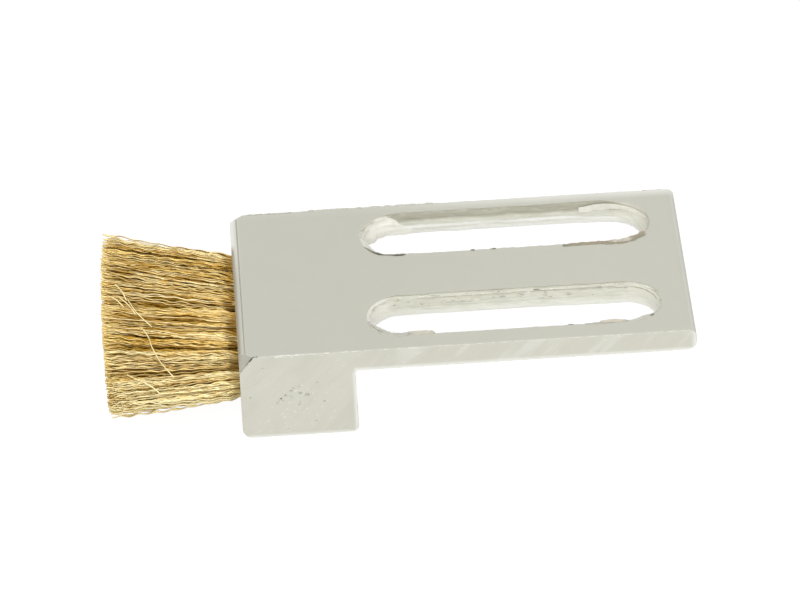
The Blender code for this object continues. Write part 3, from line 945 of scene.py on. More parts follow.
# %% The cutter of a slot
def slot_cutter(slot):
    """A closed cutter with the slot's milled wall on its outside."""
    count = round(slot_length(slot) / RIM_STEP)
    heights = [UNDER_Z - CUTTER_OVERHANG, UNDER_Z - 0.05 * MM]
    heights += [UNDER_Z + k * CUTTER_STEP for k in range(1, 20)]
    heights += [TOP_Z - v * MM for v in (0.28, 0.2, 0.12, 0.04)]
    heights += [TOP_Z + 0.05 * MM, TOP_Z + CUTTER_OVERHANG]
    vertices = []
    for z in heights:
        for k in range(count):
            spot, outwards = slot_point(slot, slot_length(slot) * k / count)
            place = spot + outwards * wall_offset(slot, spot, outwards, min(max(z, UNDER_Z), TOP_Z))
            vertices.append((place.x, place.y, z))
    faces = side_faces(len(heights), count)
    faces += [list(range(count))[::-1], list(range((len(heights) - 1) * count, len(heights) * count))]
    cutter = mesh_object(slot + "_cutter", vertices, faces)
    face_outwards(cutter)
    return cutter


# %% [markdown]
# ## Holder: holes, pared corners and pits
# The tufts stand in seven drilled holes. Both top corners over the wires were pared off with a knife,
# and the sawn side shows a few small pits. A bump could draw the pits, but it would leave the mesh flat,
# so each of all these is a cutter. For the pits, Geometry Nodes puts rough lumps on marked points of the
# side face, each as large as its point says and stretched along the face by a random amount from a
# fixed seed.

# %% Holes and corners
TUFTS = 7
NUMBERS = range(1, TUFTS + 1)
ROW_HALF, ROW_Z = 13.0 * MM, 6.5 * MM
HOLE_RADIUS, HOLE_DEPTH = 1.7 * MM, 8.0 * MM
NOTCH_SLACK = 0.1 * MM


def tuft_y(number):
    return ROW_HALF * (2 * (number - 1) / (TUFTS - 1) - 1)


def rod_along_x(bm, radius, start, end, y, sides):
    """A closed rod along X at the height of the row."""
    turn = Matrix.Translation(((start + end) / 2, y, ROW_Z)) @ Matrix.Rotation(math.pi / 2, 4, "Y")
    bmesh.ops.create_cone(bm, cap_ends=True, segments=sides, radius1=radius, radius2=radius,
                          depth=end - start, matrix=turn)


def hole_cutter():
    bm = bmesh.new()
    for number in NUMBERS:
        rod_along_x(bm, HOLE_RADIUS, END_X - 1 * MM, END_X + HOLE_DEPTH, tuft_y(number), 40)
    return from_bmesh("hole_cutter", bm)


def add_block(bm, low, high, size):
    """A closed box of a given size, in the middle between two corners."""
    middle = Matrix.Translation((low + high) / 2)
    bmesh.ops.create_cube(bm, size=1, matrix=middle @ Matrix.Diagonal((*size, 1)))


def notch_cutter():
    """The two notches that each anchor bites into the wall of its hole."""
    bm = bmesh.new()
    for number in NUMBERS:
        low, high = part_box(f"tuft_anchor_{number}")
        add_block(bm, low, high, Vector(high - low) + Vector((NOTCH_SLACK,) * 3))
    return from_bmesh("notch_cutter", bm)


print("holes at y in mm:", [round(tuft_y(number) / MM, 1) for number in NUMBERS])

# %% Corner cutters
CORNER_CUT = Vector((1.9, 1.4, 2.4)) * MM
SLAB_SIZE, SLAB_THICKNESS, KNIFE_WAVE = 8 * MM, 3 * MM, 0.06 * MM


def corner_cutter(name, side):
    """A slab whose flat face pares off one top corner. Side is -1 at the front."""
    corner = Vector((END_X, side * BACK_Y, TOP_Z))
    marks = [corner + Vector((CORNER_CUT.x, 0, 0)), corner - Vector((0, side * CORNER_CUT.y, 0)),
             corner - Vector((0, 0, CORNER_CUT.z))]
    normal = (marks[1] - marks[0]).cross(marks[2] - marks[0]).normalized()
    if normal.dot(corner - marks[0]) < 0:
        normal.negate()
    turn = normal.to_track_quat("Z", "Y").to_matrix().to_4x4()
    bm = bmesh.new()
    bmesh.ops.create_grid(bm, x_segments=16, y_segments=16, size=SLAB_SIZE / 2)
    for vert in bm.verts:
        spot = Vector((vert.co.x, vert.co.y, side * 4 * MM))
        vert.co.z += KNIFE_WAVE * noise.noise(spot / (0.9 * MM))
    top = bmesh.ops.extrude_face_region(bm, geom=bm.faces[:])
    for vert in (item for item in top["geom"] if isinstance(item, bmesh.types.BMVert)):
        vert.co.z = SLAB_THICKNESS
    bmesh.ops.recalc_face_normals(bm, faces=bm.faces)
    bmesh.ops.transform(bm, verts=bm.verts, matrix=Matrix.Translation(sum(marks, Vector()) / 3) @ turn)
    return from_bmesh(name, bm)


# %% [markdown]
# ## Trees that make shapes
# Geometry Nodes make what repeats on this brush: the pits, the burrs and the wires. Each of these trees
# takes a geometry and a material, and ends by making its copies real and giving them the material, so
# that an ordinary mesh comes out. One helper opens such a tree, one closes it, and one reads a number
# that every point carries.

# %% Shape trees
def shape_tree(name, inputs):
    """An empty Geometry Nodes tree with a geometry, its own inputs and a material."""
    inputs = (("Geometry", "NodeSocketGeometry", None), *inputs, ("Material", "NodeSocketMaterial", None))
    writer, given, result = new_group(name, "GeometryNodeTree", inputs, (("Geometry", "NodeSocketGeometry"),))
    return writer, given.outputs, result


def close_tree(writer, given, result, shape):
    """End a tree in real geometry that has its material."""
    real = writer.add("GeometryNodeRealizeInstances", {"Geometry": shape})
    dressed = writer.add("GeometryNodeSetMaterial", {"Geometry": real, "Material": given["Material"]})
    writer.feed(result.inputs["Geometry"], dressed)
    return writer.tree


def named_number(writer, label):
    """A number that each point carries."""
    return writer.add("GeometryNodeInputNamedAttribute", {"Name": label}, data_type="FLOAT").outputs[0]


# %% Pits
def pit_tree():
    """Small rough lumps scattered over a patch, to be cut out of a face as pits."""
    writer, given, result = shape_tree("pits", (
        ("Depth", "NodeSocketFloat", 1.5), ("Change", "NodeSocketFloat", 0.2), ("Seed", "NodeSocketInt", 4),
    ))
    spots = writer.add("GeometryNodeMeshToPoints", {"Mesh": given["Geometry"]})
    lump = writer.add("GeometryNodeMeshIcoSphere", {"Radius": 1.0, "Subdivisions": 2})
    size = named_number(writer, "pit_size")
    luck = writer.add("FunctionNodeRandomValue", {
        2: 1.0, 3: writer.math("ADD", 1.0, given["Change"]), "Seed": given["Seed"],
    }, data_type="FLOAT").outputs[1]
    shape = writer.join(writer.product(size, luck), writer.product(size, given["Depth"]), size)
    spread = writer.add("GeometryNodeInstanceOnPoints", {"Points": spots, "Instance": lump, "Scale": shape})
    return close_tree(writer, given, result, spread)


# Each pit's place along the block and its height, and its radius, in millimetres
PIT_MARKS = [
    (-12.4, 6.5, 0.26), (-14.5, 7.3, 0.19), (-13.3, 6.8, 0.19), (-15.3, 6.6, 0.19), (-15.9, 6.1, 0.13),
    (-14.2, 7.7, 0.13), (-14.5, 6.4, 0.13), (-13.5, 5.0, 0.13), (-10.2, 5.3, 0.13), (-18.1, 11.2, 0.11),
    (-11.4, 2.2, 0.12), (-19.9, 6.6, 0.13), (-15.2, 1.2, 0.12), (-11.0, 8.4, 0.13), (-15.6, 5.7, 0.11),
    (-13.4, 7.9, 0.10), (-13.4, 5.4, 0.10), (-16.4, 5.4, 0.10),
]
PIT_STANDS_OUT = 0.03 * MM
pits = mesh_object("pit_cutter", [
    (x * MM, front_y(z * MM) - PIT_STANDS_OUT, z * MM) for x, z, _ in PIT_MARKS
], [])
store(pits, "pit_size", [size * MM for _, _, size in PIT_MARKS])
grow(pits, pit_tree(), {"Depth": 1.6, "Change": 0.5, "Seed": 4, "Material": plastic})

# %% [markdown]
# ## Cutting the holder
# Everything that was milled, drilled or pared is now taken away from the sawn body. The fast Boolean
# solver is enough for smooth cutters, but it can leave holes where a rough wall meets a flat face, so
# the exact one is used, and the open edges are counted afterwards. Shading comes last: edges over a
# certain angle are marked sharp, and the normals follow the large flat faces.

# %% Cut the holder
def subtract(target, cutter):
    modifier = target.modifiers.new(cutter.name, "BOOLEAN")
    modifier.operation = "DIFFERENCE"
    modifier.solver = "EXACT"
    modifier.object = cutter


cutters = [slot_cutter("front_slot"), slot_cutter("back_slot"), hole_cutter(), notch_cutter(),
           corner_cutter("front_corner_cutter", -1), corner_cutter("back_corner_cutter", 1), pits]
holder.data.materials.append(plastic)
for cutter in cutters:
    cutter.data.materials.clear()
    cutter.data.materials.append(plastic)
    subtract(holder, cutter)
settle(holder)
for cutter in cutters:
    bpy.data.objects.remove(cutter, do_unlink=True)
face_outwards(holder)


def smooth_with_sharp_edges(thing, degrees):
    thing.data.shade_smooth()
    thing.data.set_sharp_from_angle(angle=math.radians(degrees))


# Normals that follow the large flat faces keep the top and the sides flat next to the worn edges
smooth_with_sharp_edges(holder, 28)
holder.modifiers.new("flat_faces_first", "WEIGHTED_NORMAL").keep_sharp = True
settle(holder)


def open_edges(thing):
    bm = bmesh.new()
    bm.from_mesh(thing.data)
    count = sum(1 for edge in bm.edges if len(edge.link_faces) != 2)
    bm.free()
    return count


print("holder:", len(holder.data.polygons), "faces,", open_edges(holder), "open edges")

# %% [markdown]
# ## Burrs
# The cutter has pushed plastic out along the slots as curls and flaps, and the saw has left a ragged
# bright line on the long edges. Each burr follows a stretch of a rim or an edge, so each is a path
# with a thickness and a tone. One Geometry Nodes tree turns every path into a torn, flattened strand:
# it walks the path in small steps, pushes the steps about, and changes the thickness as it goes.

# %% The burr tree
def sweep(writer, curve, section, by_radius=True):
    """A smooth closed tube along a curve, scaled by the curve's own radius where that is wanted."""
    tube = writer.add("GeometryNodeCurveToMesh", {
        "Curve": curve, "Profile Curve": section, "Fill Caps": True,
    })
    if by_radius and "Scale" in tube.inputs:
        writer.feed(tube.inputs["Scale"], writer.add("GeometryNodeInputRadius"))
    return writer.add("GeometryNodeSetShadeSmooth", {"Geometry": tube, "Shade Smooth": True})


def burr_tree():
    writer, given, result = shape_tree("torn_burr", (
        ("Step", "NodeSocketFloat", 0.0), ("Wander", "NodeSocketFloat", 0.0),
        ("Knots per metre", "NodeSocketFloat", 1800.0), ("Thinnest", "NodeSocketFloat", 0.25),
        ("Sides", "NodeSocketInt", 6), ("Flatness", "NodeSocketFloat", 0.5), ("Seed", "NodeSocketFloat", 0.0),
    ))
    # Walk the path in even steps, and push every step about
    path = writer.add("GeometryNodeMeshToCurve", {"Mesh": given["Geometry"]})
    stepped = writer.add("GeometryNodeResampleCurve", {"Curve": path, "Length": given["Step"]}, mode="LENGTH")
    seat = writer.vector("ADD", writer.add("GeometryNodeInputPosition"), given["Seed"])
    knots = writer.add("ShaderNodeTexNoise", {
        "Vector": seat, "Scale": given["Knots per metre"], "Detail": 2.0, "Roughness": 0.6,
    })
    thickness = named_number(writer, "burr_thickness")
    pushed = writer.vector("SUBTRACT", knots.outputs["Color"], (0.5, 0.5, 0.5))
    pushed = writer.scaled(pushed, writer.product(thickness, given["Wander"]))
    moved = writer.add("GeometryNodeSetPosition", {"Geometry": stepped, "Offset": pushed})
    moved = writer.add("GeometryNodeSetCurveNormal", {"Curve": moved}, mode="Z_UP")
    # Thin towards both ends, and now thicker, now thinner on the way
    along = writer.add("GeometryNodeSplineParameter").outputs["Factor"]
    ends = writer.product(writer.ramp(along, 0.0, 0.08, 0.1, 1.0), writer.ramp(along, 0.92, 1.0, 1.0, 0.1))
    swell = writer.ramp(knots.outputs[0], 0.35, 0.65, given["Thinnest"], 1.6)
    radius = writer.product(thickness, swell, ends)
    sized = writer.add("GeometryNodeSetCurveRadius", {"Curve": moved, "Radius": radius})
    # A flattened ring is the section
    ring = writer.add("GeometryNodeCurvePrimitiveCircle", {"Resolution": given["Sides"], "Radius": 1.0})
    squeeze = writer.join(1.0, given["Flatness"], 1.0)
    flat = writer.add("GeometryNodeTransform", {"Geometry": ring, "Scale": squeeze})
    return close_tree(writer, given, result, sweep(writer, sized, flat))


torn_burr = burr_tree()


# %% Paths for burrs
def burr_paths(name, paths):
    """A wire mesh with one chain of edges for each path of (points, thickness, tone)."""
    vertices, edges, thicknesses, tones = [], [], [], []
    for points, thickness, tone in paths:
        first = len(vertices)
        vertices += points
        edges += [(first + k, first + k + 1) for k in range(len(points) - 1)]
        thicknesses += [thickness] * len(points)
        tones += [tone] * len(points)
    thing = mesh_object(name, vertices, [], edges)
    store(thing, "burr_thickness", thicknesses)
    store(thing, "burr_tone", tones)
    return thing


def rim_path(slot, start, end, inset, z):
    """Points along a slot's rim, in millimetres of run, set into the slot by a small amount."""
    count = max(3, round(abs(end - start) / 0.3))
    points = []
    for k in range(count + 1):
        spot, outwards = slot_point(slot, (start + (end - start) * k / count) * MM)
        place = spot - outwards * inset * MM
        points.append((place.x, place.y, TOP_Z + z * MM))
    return points


# %% [markdown]
# ## Where the burrs lie
# Each row below is one burr that the photograph shows, measured along the rim from the slot's left
# end: its start and end, how far it stands into the slot, how high it lies against the top face, its
# thickness and its tone, from cream at 0 through sand and tan to dark at 1. The small chips on the
# walls and the pale crumbs along the rims are too many to place one by one, so they are strewn from a
# fixed seed.

# %% Burrs of the slots
# Dark tones along the rims stand partly for dark curls and partly for painted shade there
SLOT_BURRS = {
    "back_slot": [
        (17.3, 17.9, 0.05, 0.02, 0.11, 0.88), (19.9, 20.8, 0.05, 0.02, 0.10, 0.88),
        (29.6, 30.6, -0.30, 0.03, 0.10, 0.82), (35.0, 41.2, -0.44, 0.03, 0.13, 0.73),
        (31.5, 35.4, -0.30, 0.03, 0.07, 0.70), (44.0, 46.4, 0.00, 0.01, 0.05, 0.40),
        (45.8, 50.6, 0.34, -0.45, 0.09, 0.00), (46.5, 51.0, 0.00, -0.12, 0.04, 0.50),
        (81.2, 84.6, 0.05, 0.00, 0.05, 0.12), (83.6, 87.2, 0.34, -0.06, 0.040, 0.62),
        (8.8, 29.8, 0.01, 0.00, 0.03, 0.22), (82.0, 84.6, 0.36, -0.30, 0.045, 0.25),
        (85.5, 88.0, 0.75, -0.45, 0.045, 0.45), (86.0, 90.0, 0.04, 0.00, 0.05, 0.15),
    ],
    "front_slot": [
        (75.7, 76.9, 0.06, -0.22, 0.08, 0.05), (73.3, 75.0, 0.06, -0.24, 0.07, 0.08),
        (80.3, 83.4, 0.06, -0.16, 0.07, 0.02), (69.5, 70.6, 0.06, -0.22, 0.10, 0.00),
        (64.8, 66.2, 0.04, -0.20, 0.12, 0.00), (62.2, 63.1, 0.04, -0.18, 0.08, 0.80),
        (58.6, 60.9, 0.04, -0.20, 0.14, 0.00), (55.4, 56.7, 0.02, -0.20, 0.11, 0.03),
        (66.5, 69.2, -0.20, -0.10, 0.05, 0.20), (44.0, 52.5, 0.38, -0.20, 0.055, 0.00),
        (44.4, 53.5, 0.50, -0.34, 0.040, 0.78), (45.6, 52.2, -0.14, 0.02, 0.035, 0.34),
        (43.6, 47.0, 0.16, -0.06, 0.040, 0.36), (53.5, 57.5, 0.30, -0.40, 0.035, 0.36),
        (1.5, 4.2, 0.22, 0.03, 0.05, 0.80), (2.4, 7.4, -0.16, 0.03, 0.045, 0.08),
        (28.8, 29.6, 0.06, 0.02, 0.09, 0.85), (39.9, 40.6, 0.05, 0.03, 0.08, 0.90),
        (40.6, 43.9, 0.00, 0.01, 0.035, 0.36), (11.0, 28.8, 0.01, 0.00, 0.03, 0.18),
        (64.0, 74.0, 0.12, -0.62, 0.035, 0.50), (76.0, 82.0, 0.16, -0.70, 0.05, 0.12),
        (53.5, 60.0, 0.14, -0.66, 0.045, 0.12), (66.5, 70.0, 0.12, -1.05, 0.04, 0.12),
        (71.0, 75.5, 0.12, -1.35, 0.04, 0.35), (82.0, 86.0, 0.34, -0.35, 0.045, 0.30),
        (84.5, 88.2, 0.22, 0.00, 0.06, 0.00),
    ],
}
# Small chips that cling to the milled walls: the slot, how many, and the part of the rim they lie along
WALL_CHIPS = (("front_slot", 70, 45.0, 87.0), ("back_slot", 12, 80.0, 88.0))
CHIP_TONES = (0.0, 0.0, 0.03, 0.34, 0.36)
# Pale crumbs in a row along the rim: the slot, how many, and the part of the rim
RIM_CRUMBS = (
    ("front_slot", 22, 74.0, 89.0), ("front_slot", 16, 46.0, 62.0), ("front_slot", 6, 62.0, 74.0),
    ("back_slot", 8, 83.0, 88.5),
)
CRUMB_TONES = (0.0, 0.0, 0.02, 0.34)

# %% Lay the burrs of the slots
paths = []
for slot, rows in SLOT_BURRS.items():
    for start, end, inset, z, thickness, tone in rows:
        paths.append((rim_path(slot, start, end, inset, z), thickness * MM, tone))
dice = random.Random(11)
for slot, count, first, last in WALL_CHIPS:
    for _ in range(count):
        start, length = dice.uniform(first, last), dice.uniform(0.25, 0.95)
        height, thickness = dice.uniform(-1.6, -0.3), dice.uniform(0.06, 0.11)
        path = rim_path(slot, start, start + length, 0.05, height)
        paths.append((path, thickness * MM, dice.choice(CHIP_TONES)))
for slot, count, first, last in RIM_CRUMBS:
    for _ in range(count):
        start, length = dice.uniform(first, last), dice.uniform(0.2, 0.9)
        inset, height = dice.uniform(0.0, 0.12), dice.uniform(-0.2, -0.03)
        thickness = dice.uniform(0.06, 0.11)
        path = rim_path(slot, start, start + length, inset, height)
        paths.append((path, thickness * MM, dice.choice(CRUMB_TONES)))
slot_burrs = burr_paths("slot_burrs", paths)
grow(slot_burrs, torn_burr, {
    "Step": 0.10 * MM, "Wander": 1.4, "Knots per metre": 1300.0, "Thinnest": 0.5, "Sides": 7,
    "Flatness": 0.5, "Seed": 0.31, "Material": burr_plastic,
})

# %% [markdown]
# ## Torn strips
# Where the cutter left the plastic, it pushed a wide thin strip over the rim instead of a curl. A
# strip needs two edges of its own, so it is built as a ribbon of small faces between them, and then
# gets a thickness. Each row is one strip, and each of its stations gives a place along the rim, how
# far the outer and the inner edge stand in from the rim, the height of both, and the tone.

# %% Torn strips along the slots
STRIP_STEP, STRIP_THICKNESS, STRIP_WAVE, STRIP_RAGGED = 0.13 * MM, 0.05 * MM, 0.05, 0.14
# Dark tones along the back slot's rims stand partly for dark plastic and partly for painted shade
STRIPS = {
    "back_slot": [
        [(29.8, -0.50, 0.06, 0.03, 0.05, 0.80), (31, -0.46, 0.12, 0.03, 0.05, 0.72),
         (33, -0.42, 0.20, 0.03, 0.05, 0.66), (35.5, -0.38, 0.24, 0.03, 0.05, 0.68),
         (36.6, -0.34, 0.34, 0.03, 0.04, 0.50), (37.6, -0.32, 0.42, 0.03, 0.03, 0.40),
         (38.6, -0.30, 0.44, 0.03, 0.03, 0.50), (39.6, -0.26, 0.50, 0.03, 0.02, 0.72),
         (41, -0.20, 0.42, 0.03, 0.01, 0.70), (42.0, -0.15, 0.26, 0.03, 0.01, 0.38),
         (43.4, -0.12, 0.08, 0.02, 0.01, 0.36), (44.5, -0.10, 0.05, 0.02, 0.01, 0.36)],
        [(55.9, 0.12, 0.28, -0.52, -1.16, 0.06), (55.7, 0.14, 0.32, -0.42, -1.20, 0.00),
         (55.0, 0.16, 0.34, -0.36, -1.18, 0.00), (53.9, 0.16, 0.30, -0.10, -1.02, 0.04),
         (52.4, 0.16, 0.32, -0.06, -0.95, 0.08), (51.2, 0.18, 0.34, -0.16, -0.90, 0.02),
         (50, 0.22, 0.40, -0.34, -0.88, 0.05), (48.6, 0.28, 0.46, -0.36, -0.82, 0.00),
         (47.2, 0.32, 0.52, -0.32, -0.70, 0.02), (46, 0.28, 0.50, -0.24, -0.52, 0.06),
         (44.8, 0.12, 0.26, -0.10, -0.20, 0.20)],
        [(2.3, -0.04, 0.06, 0.03, 0.04, 0.78), (3.4, -0.10, 0.08, 0.03, 0.04, 0.84),
         (4.4, -0.20, 0.10, 0.03, 0.04, 0.95), (5.1, -0.24, 0.08, 0.03, 0.04, 1.00),
         (5.9, -0.10, 0.05, 0.03, 0.04, 0.86), (6.6, -0.12, 0.04, 0.03, 0.04, 0.84),
         (7.3, -0.26, 0.06, 0.03, 0.04, 0.98), (8.2, -0.24, 0.08, 0.03, 0.04, 1.00),
         (8.6, -0.12, 0.02, 0.03, 0.04, 0.90)],
        [(0.4, 0.05, 0.30, 0.00, -0.03, 0.10), (1.1, 0.08, 0.66, 0.00, -0.10, 0.10),
         (2.0, 0.08, 0.86, 0.00, -0.12, 0.12), (3.2, 0.10, 0.72, 0.00, -0.12, 0.14),
         (4.4, 0.08, 0.38, 0.00, -0.10, 0.20), (6.0, 0.08, 0.28, 0.00, -0.08, 0.18),
         (8.0, 0.06, 0.34, 0.00, -0.06, 0.16), (8.7, 0.05, 0.26, 0.00, -0.03, 0.18),
         (10.2, 0.02, 0.16, 0.00, -0.01, 0.20)],
    ],
    "front_slot": [
        [(0.8, 0.00, 0.30, 0.02, 0.00, 0.27), (2.0, -0.05, 0.62, 0.02, -0.06, 0.29),
         (3.0, -0.10, 0.95, 0.02, -0.10, 0.27), (4.0, -0.10, 0.88, 0.02, -0.10, 0.31),
         (5.0, -0.10, 0.84, 0.02, -0.08, 0.28), (6.0, -0.10, 0.72, 0.02, -0.06, 0.31),
         (7.0, -0.10, 0.64, 0.02, -0.04, 0.31), (7.9, -0.10, 0.62, 0.02, 0.00, 0.30)],
        [(7.6, -0.04, 0.64, 0.03, 0.03, 0.30), (8.6, -0.04, 0.70, 0.03, 0.04, 0.46),
         (10.2, -0.02, 0.76, 0.03, 0.04, 0.47), (10.9, 0.00, 0.72, 0.03, 0.03, 0.44),
         (11.3, 0.00, 0.10, 0.02, 0.02, 0.30)],
        [(31.0, -0.14, 0.06, 0.02, 0.03, 0.33), (32.5, -0.16, 0.12, 0.02, 0.03, 0.33),
         (33.6, -0.18, 0.10, 0.02, 0.03, 0.35), (35.0, -0.14, 0.02, 0.02, 0.03, 0.33)],
        [(33.0, -0.04, 0.30, 0.03, 0.04, 0.44), (33.6, -0.04, 0.56, 0.03, 0.05, 0.50),
         (35.0, -0.04, 0.60, 0.03, 0.05, 0.50), (36.1, -0.02, 0.46, 0.03, 0.04, 0.47),
         (36.8, 0.00, 0.20, 0.02, 0.02, 0.30)],
        [(36.5, 0.00, 0.22, 0.01, 0.00, 0.20), (37.6, 0.00, 0.46, 0.01, -0.02, 0.22),
         (39.0, 0.00, 0.72, 0.01, -0.05, 0.25), (40.0, 0.00, 0.58, 0.01, -0.04, 0.28),
         (41.2, 0.00, 0.10, 0.01, 0.00, 0.30)],
        [(81.5, 0.00, 0.18, 0.01, 0.00, 0.10), (83.5, 0.00, 0.34, 0.01, -0.06, 0.04),
         (86.0, 0.00, 0.44, 0.01, -0.10, 0.02), (88.5, 0.00, 0.40, 0.01, -0.10, 0.08),
         (89.6, 0.00, 0.20, 0.01, -0.04, 0.15)],
    ],
}


# %% Ribbons along a rim
def station_at(stations, run):
    """The strip's own numbers at one place of its run, between the two nearest stations."""
    for before, after in zip(stations, stations[1:]):
        if min(before[0], after[0]) <= run <= max(before[0], after[0]):
            share = (run - before[0]) / (after[0] - before[0])
            return [a + (b - a) * share for a, b in zip(before[1:], after[1:])]
    return stations[-1][1:]


def torn_strip(slot, stations, across=6):
    """Points, faces and tones of one ribbon along a rim, with a ragged free edge."""
    start, end = stations[0][0], stations[-1][0]
    count = max(4, round(abs(end - start) * MM / STRIP_STEP))
    points, faces, tones = [], [], []
    for k in range(count + 1):
        run = start + (end - start) * k / count
        outer, inner, z_outer, z_inner, tone = station_at(stations, run)
        spot, outwards = slot_point(slot, run * MM)
        place = pattern_place(spot.x, spot.y, 0.9 * MM, 5 * outer)
        for j in range(across):
            share = j / (across - 1)
            wide = outer + (inner - outer) * share
            ragged = STRIP_RAGGED * (noise.noise(place) + 0.7 * noise.noise(place * 3.1))
            ragged *= share if share > 0.5 else 0.3
            lift = z_outer + (z_inner - z_outer) * share
            lift += STRIP_WAVE * noise.noise(place + Vector((0, 0, share)))
            here = spot - outwards * (wide + ragged) * MM
            points.append((here.x, here.y, TOP_Z + lift * MM))
            tones.append(tone + 0.05 * noise.noise(place * 1.6 + Vector((0, 0, share * 2))))
    for k in range(count):
        for j in range(across - 1):
            a = k * across + j
            faces.append((a, a + 1, a + across + 1, a + across))
    return points, faces, tones


# %% Build the strips
def build_strips():
    vertices, faces, tones = [], [], []
    for slot, rows in STRIPS.items():
        for row in rows:
            points, quads, shades = torn_strip(slot, row)
            first = len(vertices)
            vertices += points
            faces += [tuple(first + v for v in quad) for quad in quads]
            tones += shades
    strips = mesh_object("slot_strips", vertices, faces)
    store(strips, "burr_tone", tones)
    strips.data.materials.append(burr_plastic)
    thick = strips.modifiers.new("thickness", "SOLIDIFY")
    thick.thickness = STRIP_THICKNESS
    thick.offset = 0
    settle(strips)
    face_outwards(strips)
    smooth_with_sharp_edges(strips, 50)
    return strips


slot_strips = build_strips()
print("strips:", len(slot_strips.data.polygons), "faces")

# %% [markdown]
# ## Burrs of the long edges
# A pale ragged line runs along the long edges, partly the saw's and scraper's burr and partly painted
# highlight, and dark scraps lie at the front corner, partly the knife's and partly painted shade. A
# bevel with a bright colour would be as even as a ruled line. The tree that made the slots' burrs fits
# here too, along straight paths. Each row gives a path's two ends in millimetres, its thickness and its
# tone.

# %% Burrs of the long edges
EDGE_BURRS = [
    ((-16.8, -15.95, 12.97), (-9.0, -15.95, 12.97), 0.080, 0.02),
    ((-9.0, -15.95, 12.97), (4.0, -15.95, 12.97), 0.060, 0.04),
    ((4.0, -15.95, 12.97), (22.0, -15.95, 12.97), 0.050, 0.05),
    ((22.0, -15.95, 12.97), (38.3, -15.95, 12.97), 0.055, 0.04),
    ((-16.5, -15.99, 12.80), (-13.8, -15.99, 12.72), 0.070, 0.02),
    ((-11.6, -15.99, 12.88), (-9.9, -15.99, 12.66), 0.060, 0.04),
    ((26.5, -15.99, 12.30), (29.5, -15.99, 12.75), 0.045, 0.04),
    ((29.8, -15.99, 11.3), (31.8, -15.99, 12.5), 0.035, 0.05),
    ((-18.6, -15.94, 13.05), (-19.4, -15.96, 13.02), 0.115, 1.00),
    ((-19.3, -15.98, 13.00), (-19.85, -16.03, 12.35), 0.120, 0.98),
    ((-19.8, -16.03, 12.40), (-20.4, -16.05, 11.60), 0.080, 0.80),
    ((-20.35, -16.05, 11.65), (-21.05, -16.08, 10.75), 0.060, 0.62),
    ((-19.3, -15.98, 13.0), (-16.6, -15.97, 12.97), 0.045, 0.10),
    ((-19.0, 15.88, 13.02), (-16.6, 15.86, 13.02), 0.080, 0.37),
    ((-16.4, 15.86, 13.02), (-12.6, 15.82, 13.02), 0.090, 0.37),
    ((-11.5, 15.98, 12.99), (7.5, 15.98, 12.99), 0.130, 0.26),
    ((7.5, 15.95, 12.98), (34.8, 15.95, 12.98), 0.040, 0.12),
    ((34.8, 15.93, 12.99), (37.6, 15.93, 12.99), 0.060, 0.55),
    ((-19.6, -16.36, 0.12), (-7.2, -16.36, 0.08), 0.035, 0.08),
    ((-6.0, -16.07, 9.94), (38.0, -16.07, 9.94), 0.045, 0.10),
]


def straight_path(start, end, spacing=0.4):
    first, last = Vector(start) * MM, Vector(end) * MM
    count = max(2, round((last - first).length / (spacing * MM)))
    return [tuple(first.lerp(last, k / count)) for k in range(count + 1)]


edge_burrs = burr_paths("edge_burrs", [
    (straight_path(start, end), thickness * MM, tone) for start, end, thickness, tone in EDGE_BURRS
])
grow(edge_burrs, torn_burr, {
    "Step": 0.12 * MM, "Wander": 1.2, "Knots per metre": 1300.0, "Thinnest": 0.35, "Sides": 6,
    "Flatness": 0.7, "Seed": 0.77, "Material": burr_plastic,
})

# %% [markdown]
# ## Tufts
# A tuft is a bundle of crimped brass wires, folded in two over a small anchor and driven into its hole.
# Outside the hole the wires spread, because every crimp holds its neighbours apart. The wires could be
# hair strands, but a hair system gives no plain mesh. Here a Geometry Nodes tree lays out one straight
# line for each wire, starts them on a sunflower spiral in the hole, and bends each by its own numbers:
# the crimp's pitch, turn and start, the spread, a slow wander, and a small change of length.

# %% Sizes of the wires
WIRES_PER_TUFT = 340
WIRE_POINTS = 37
BRISTLE_LENGTH = 18.0 * MM
WIRE_SIZES = {
    "Wires": WIRES_PER_TUFT, "Points a wire": WIRE_POINTS, "Wire radius": 0.100 * MM,
    "Root radius": 1.55 * MM, "Length": BRISTLE_LENGTH, "Sink": 1.6 * MM, "Trim": 0.45 * MM,
    "Corner trim": 11.0 * MM, "Ragged tips": 1.1 * MM, "Lift": 0.9 * MM, "Twist": 0.45,
    "Crimp pitch": 2.45 * MM, "Crimp height": 0.092 * MM, "Curl": 0.70, "Wander": 0.55 * MM,
    "Lock size": 0.42 * MM, "Lock pull": 0.48, "Flare": 0.24,
}
GOLDEN_ANGLE = math.pi * (3 - math.sqrt(5))

# How far each tuft leans along Y at its tips, its half width and half height there, how much painted
# light it gets, and how much painted shade its underside gets
TUFT_SHAPES = [
    (-3.25, 2.4, 1.30, 0.45, -0.8), (-1.1, 3.3, 1.90, 0.15, 0.55), (0.6, 2.3, 1.95, 0.02, 1.35),
    (1.5, 2.7, 1.95, 0.04, 0.95), (3.0, 2.9, 1.95, 0.03, 1.0), (3.9, 2.3, 1.95, 0.05, 0.95),
    (3.8, 2.05, 1.95, 0.16, 0.6),
]


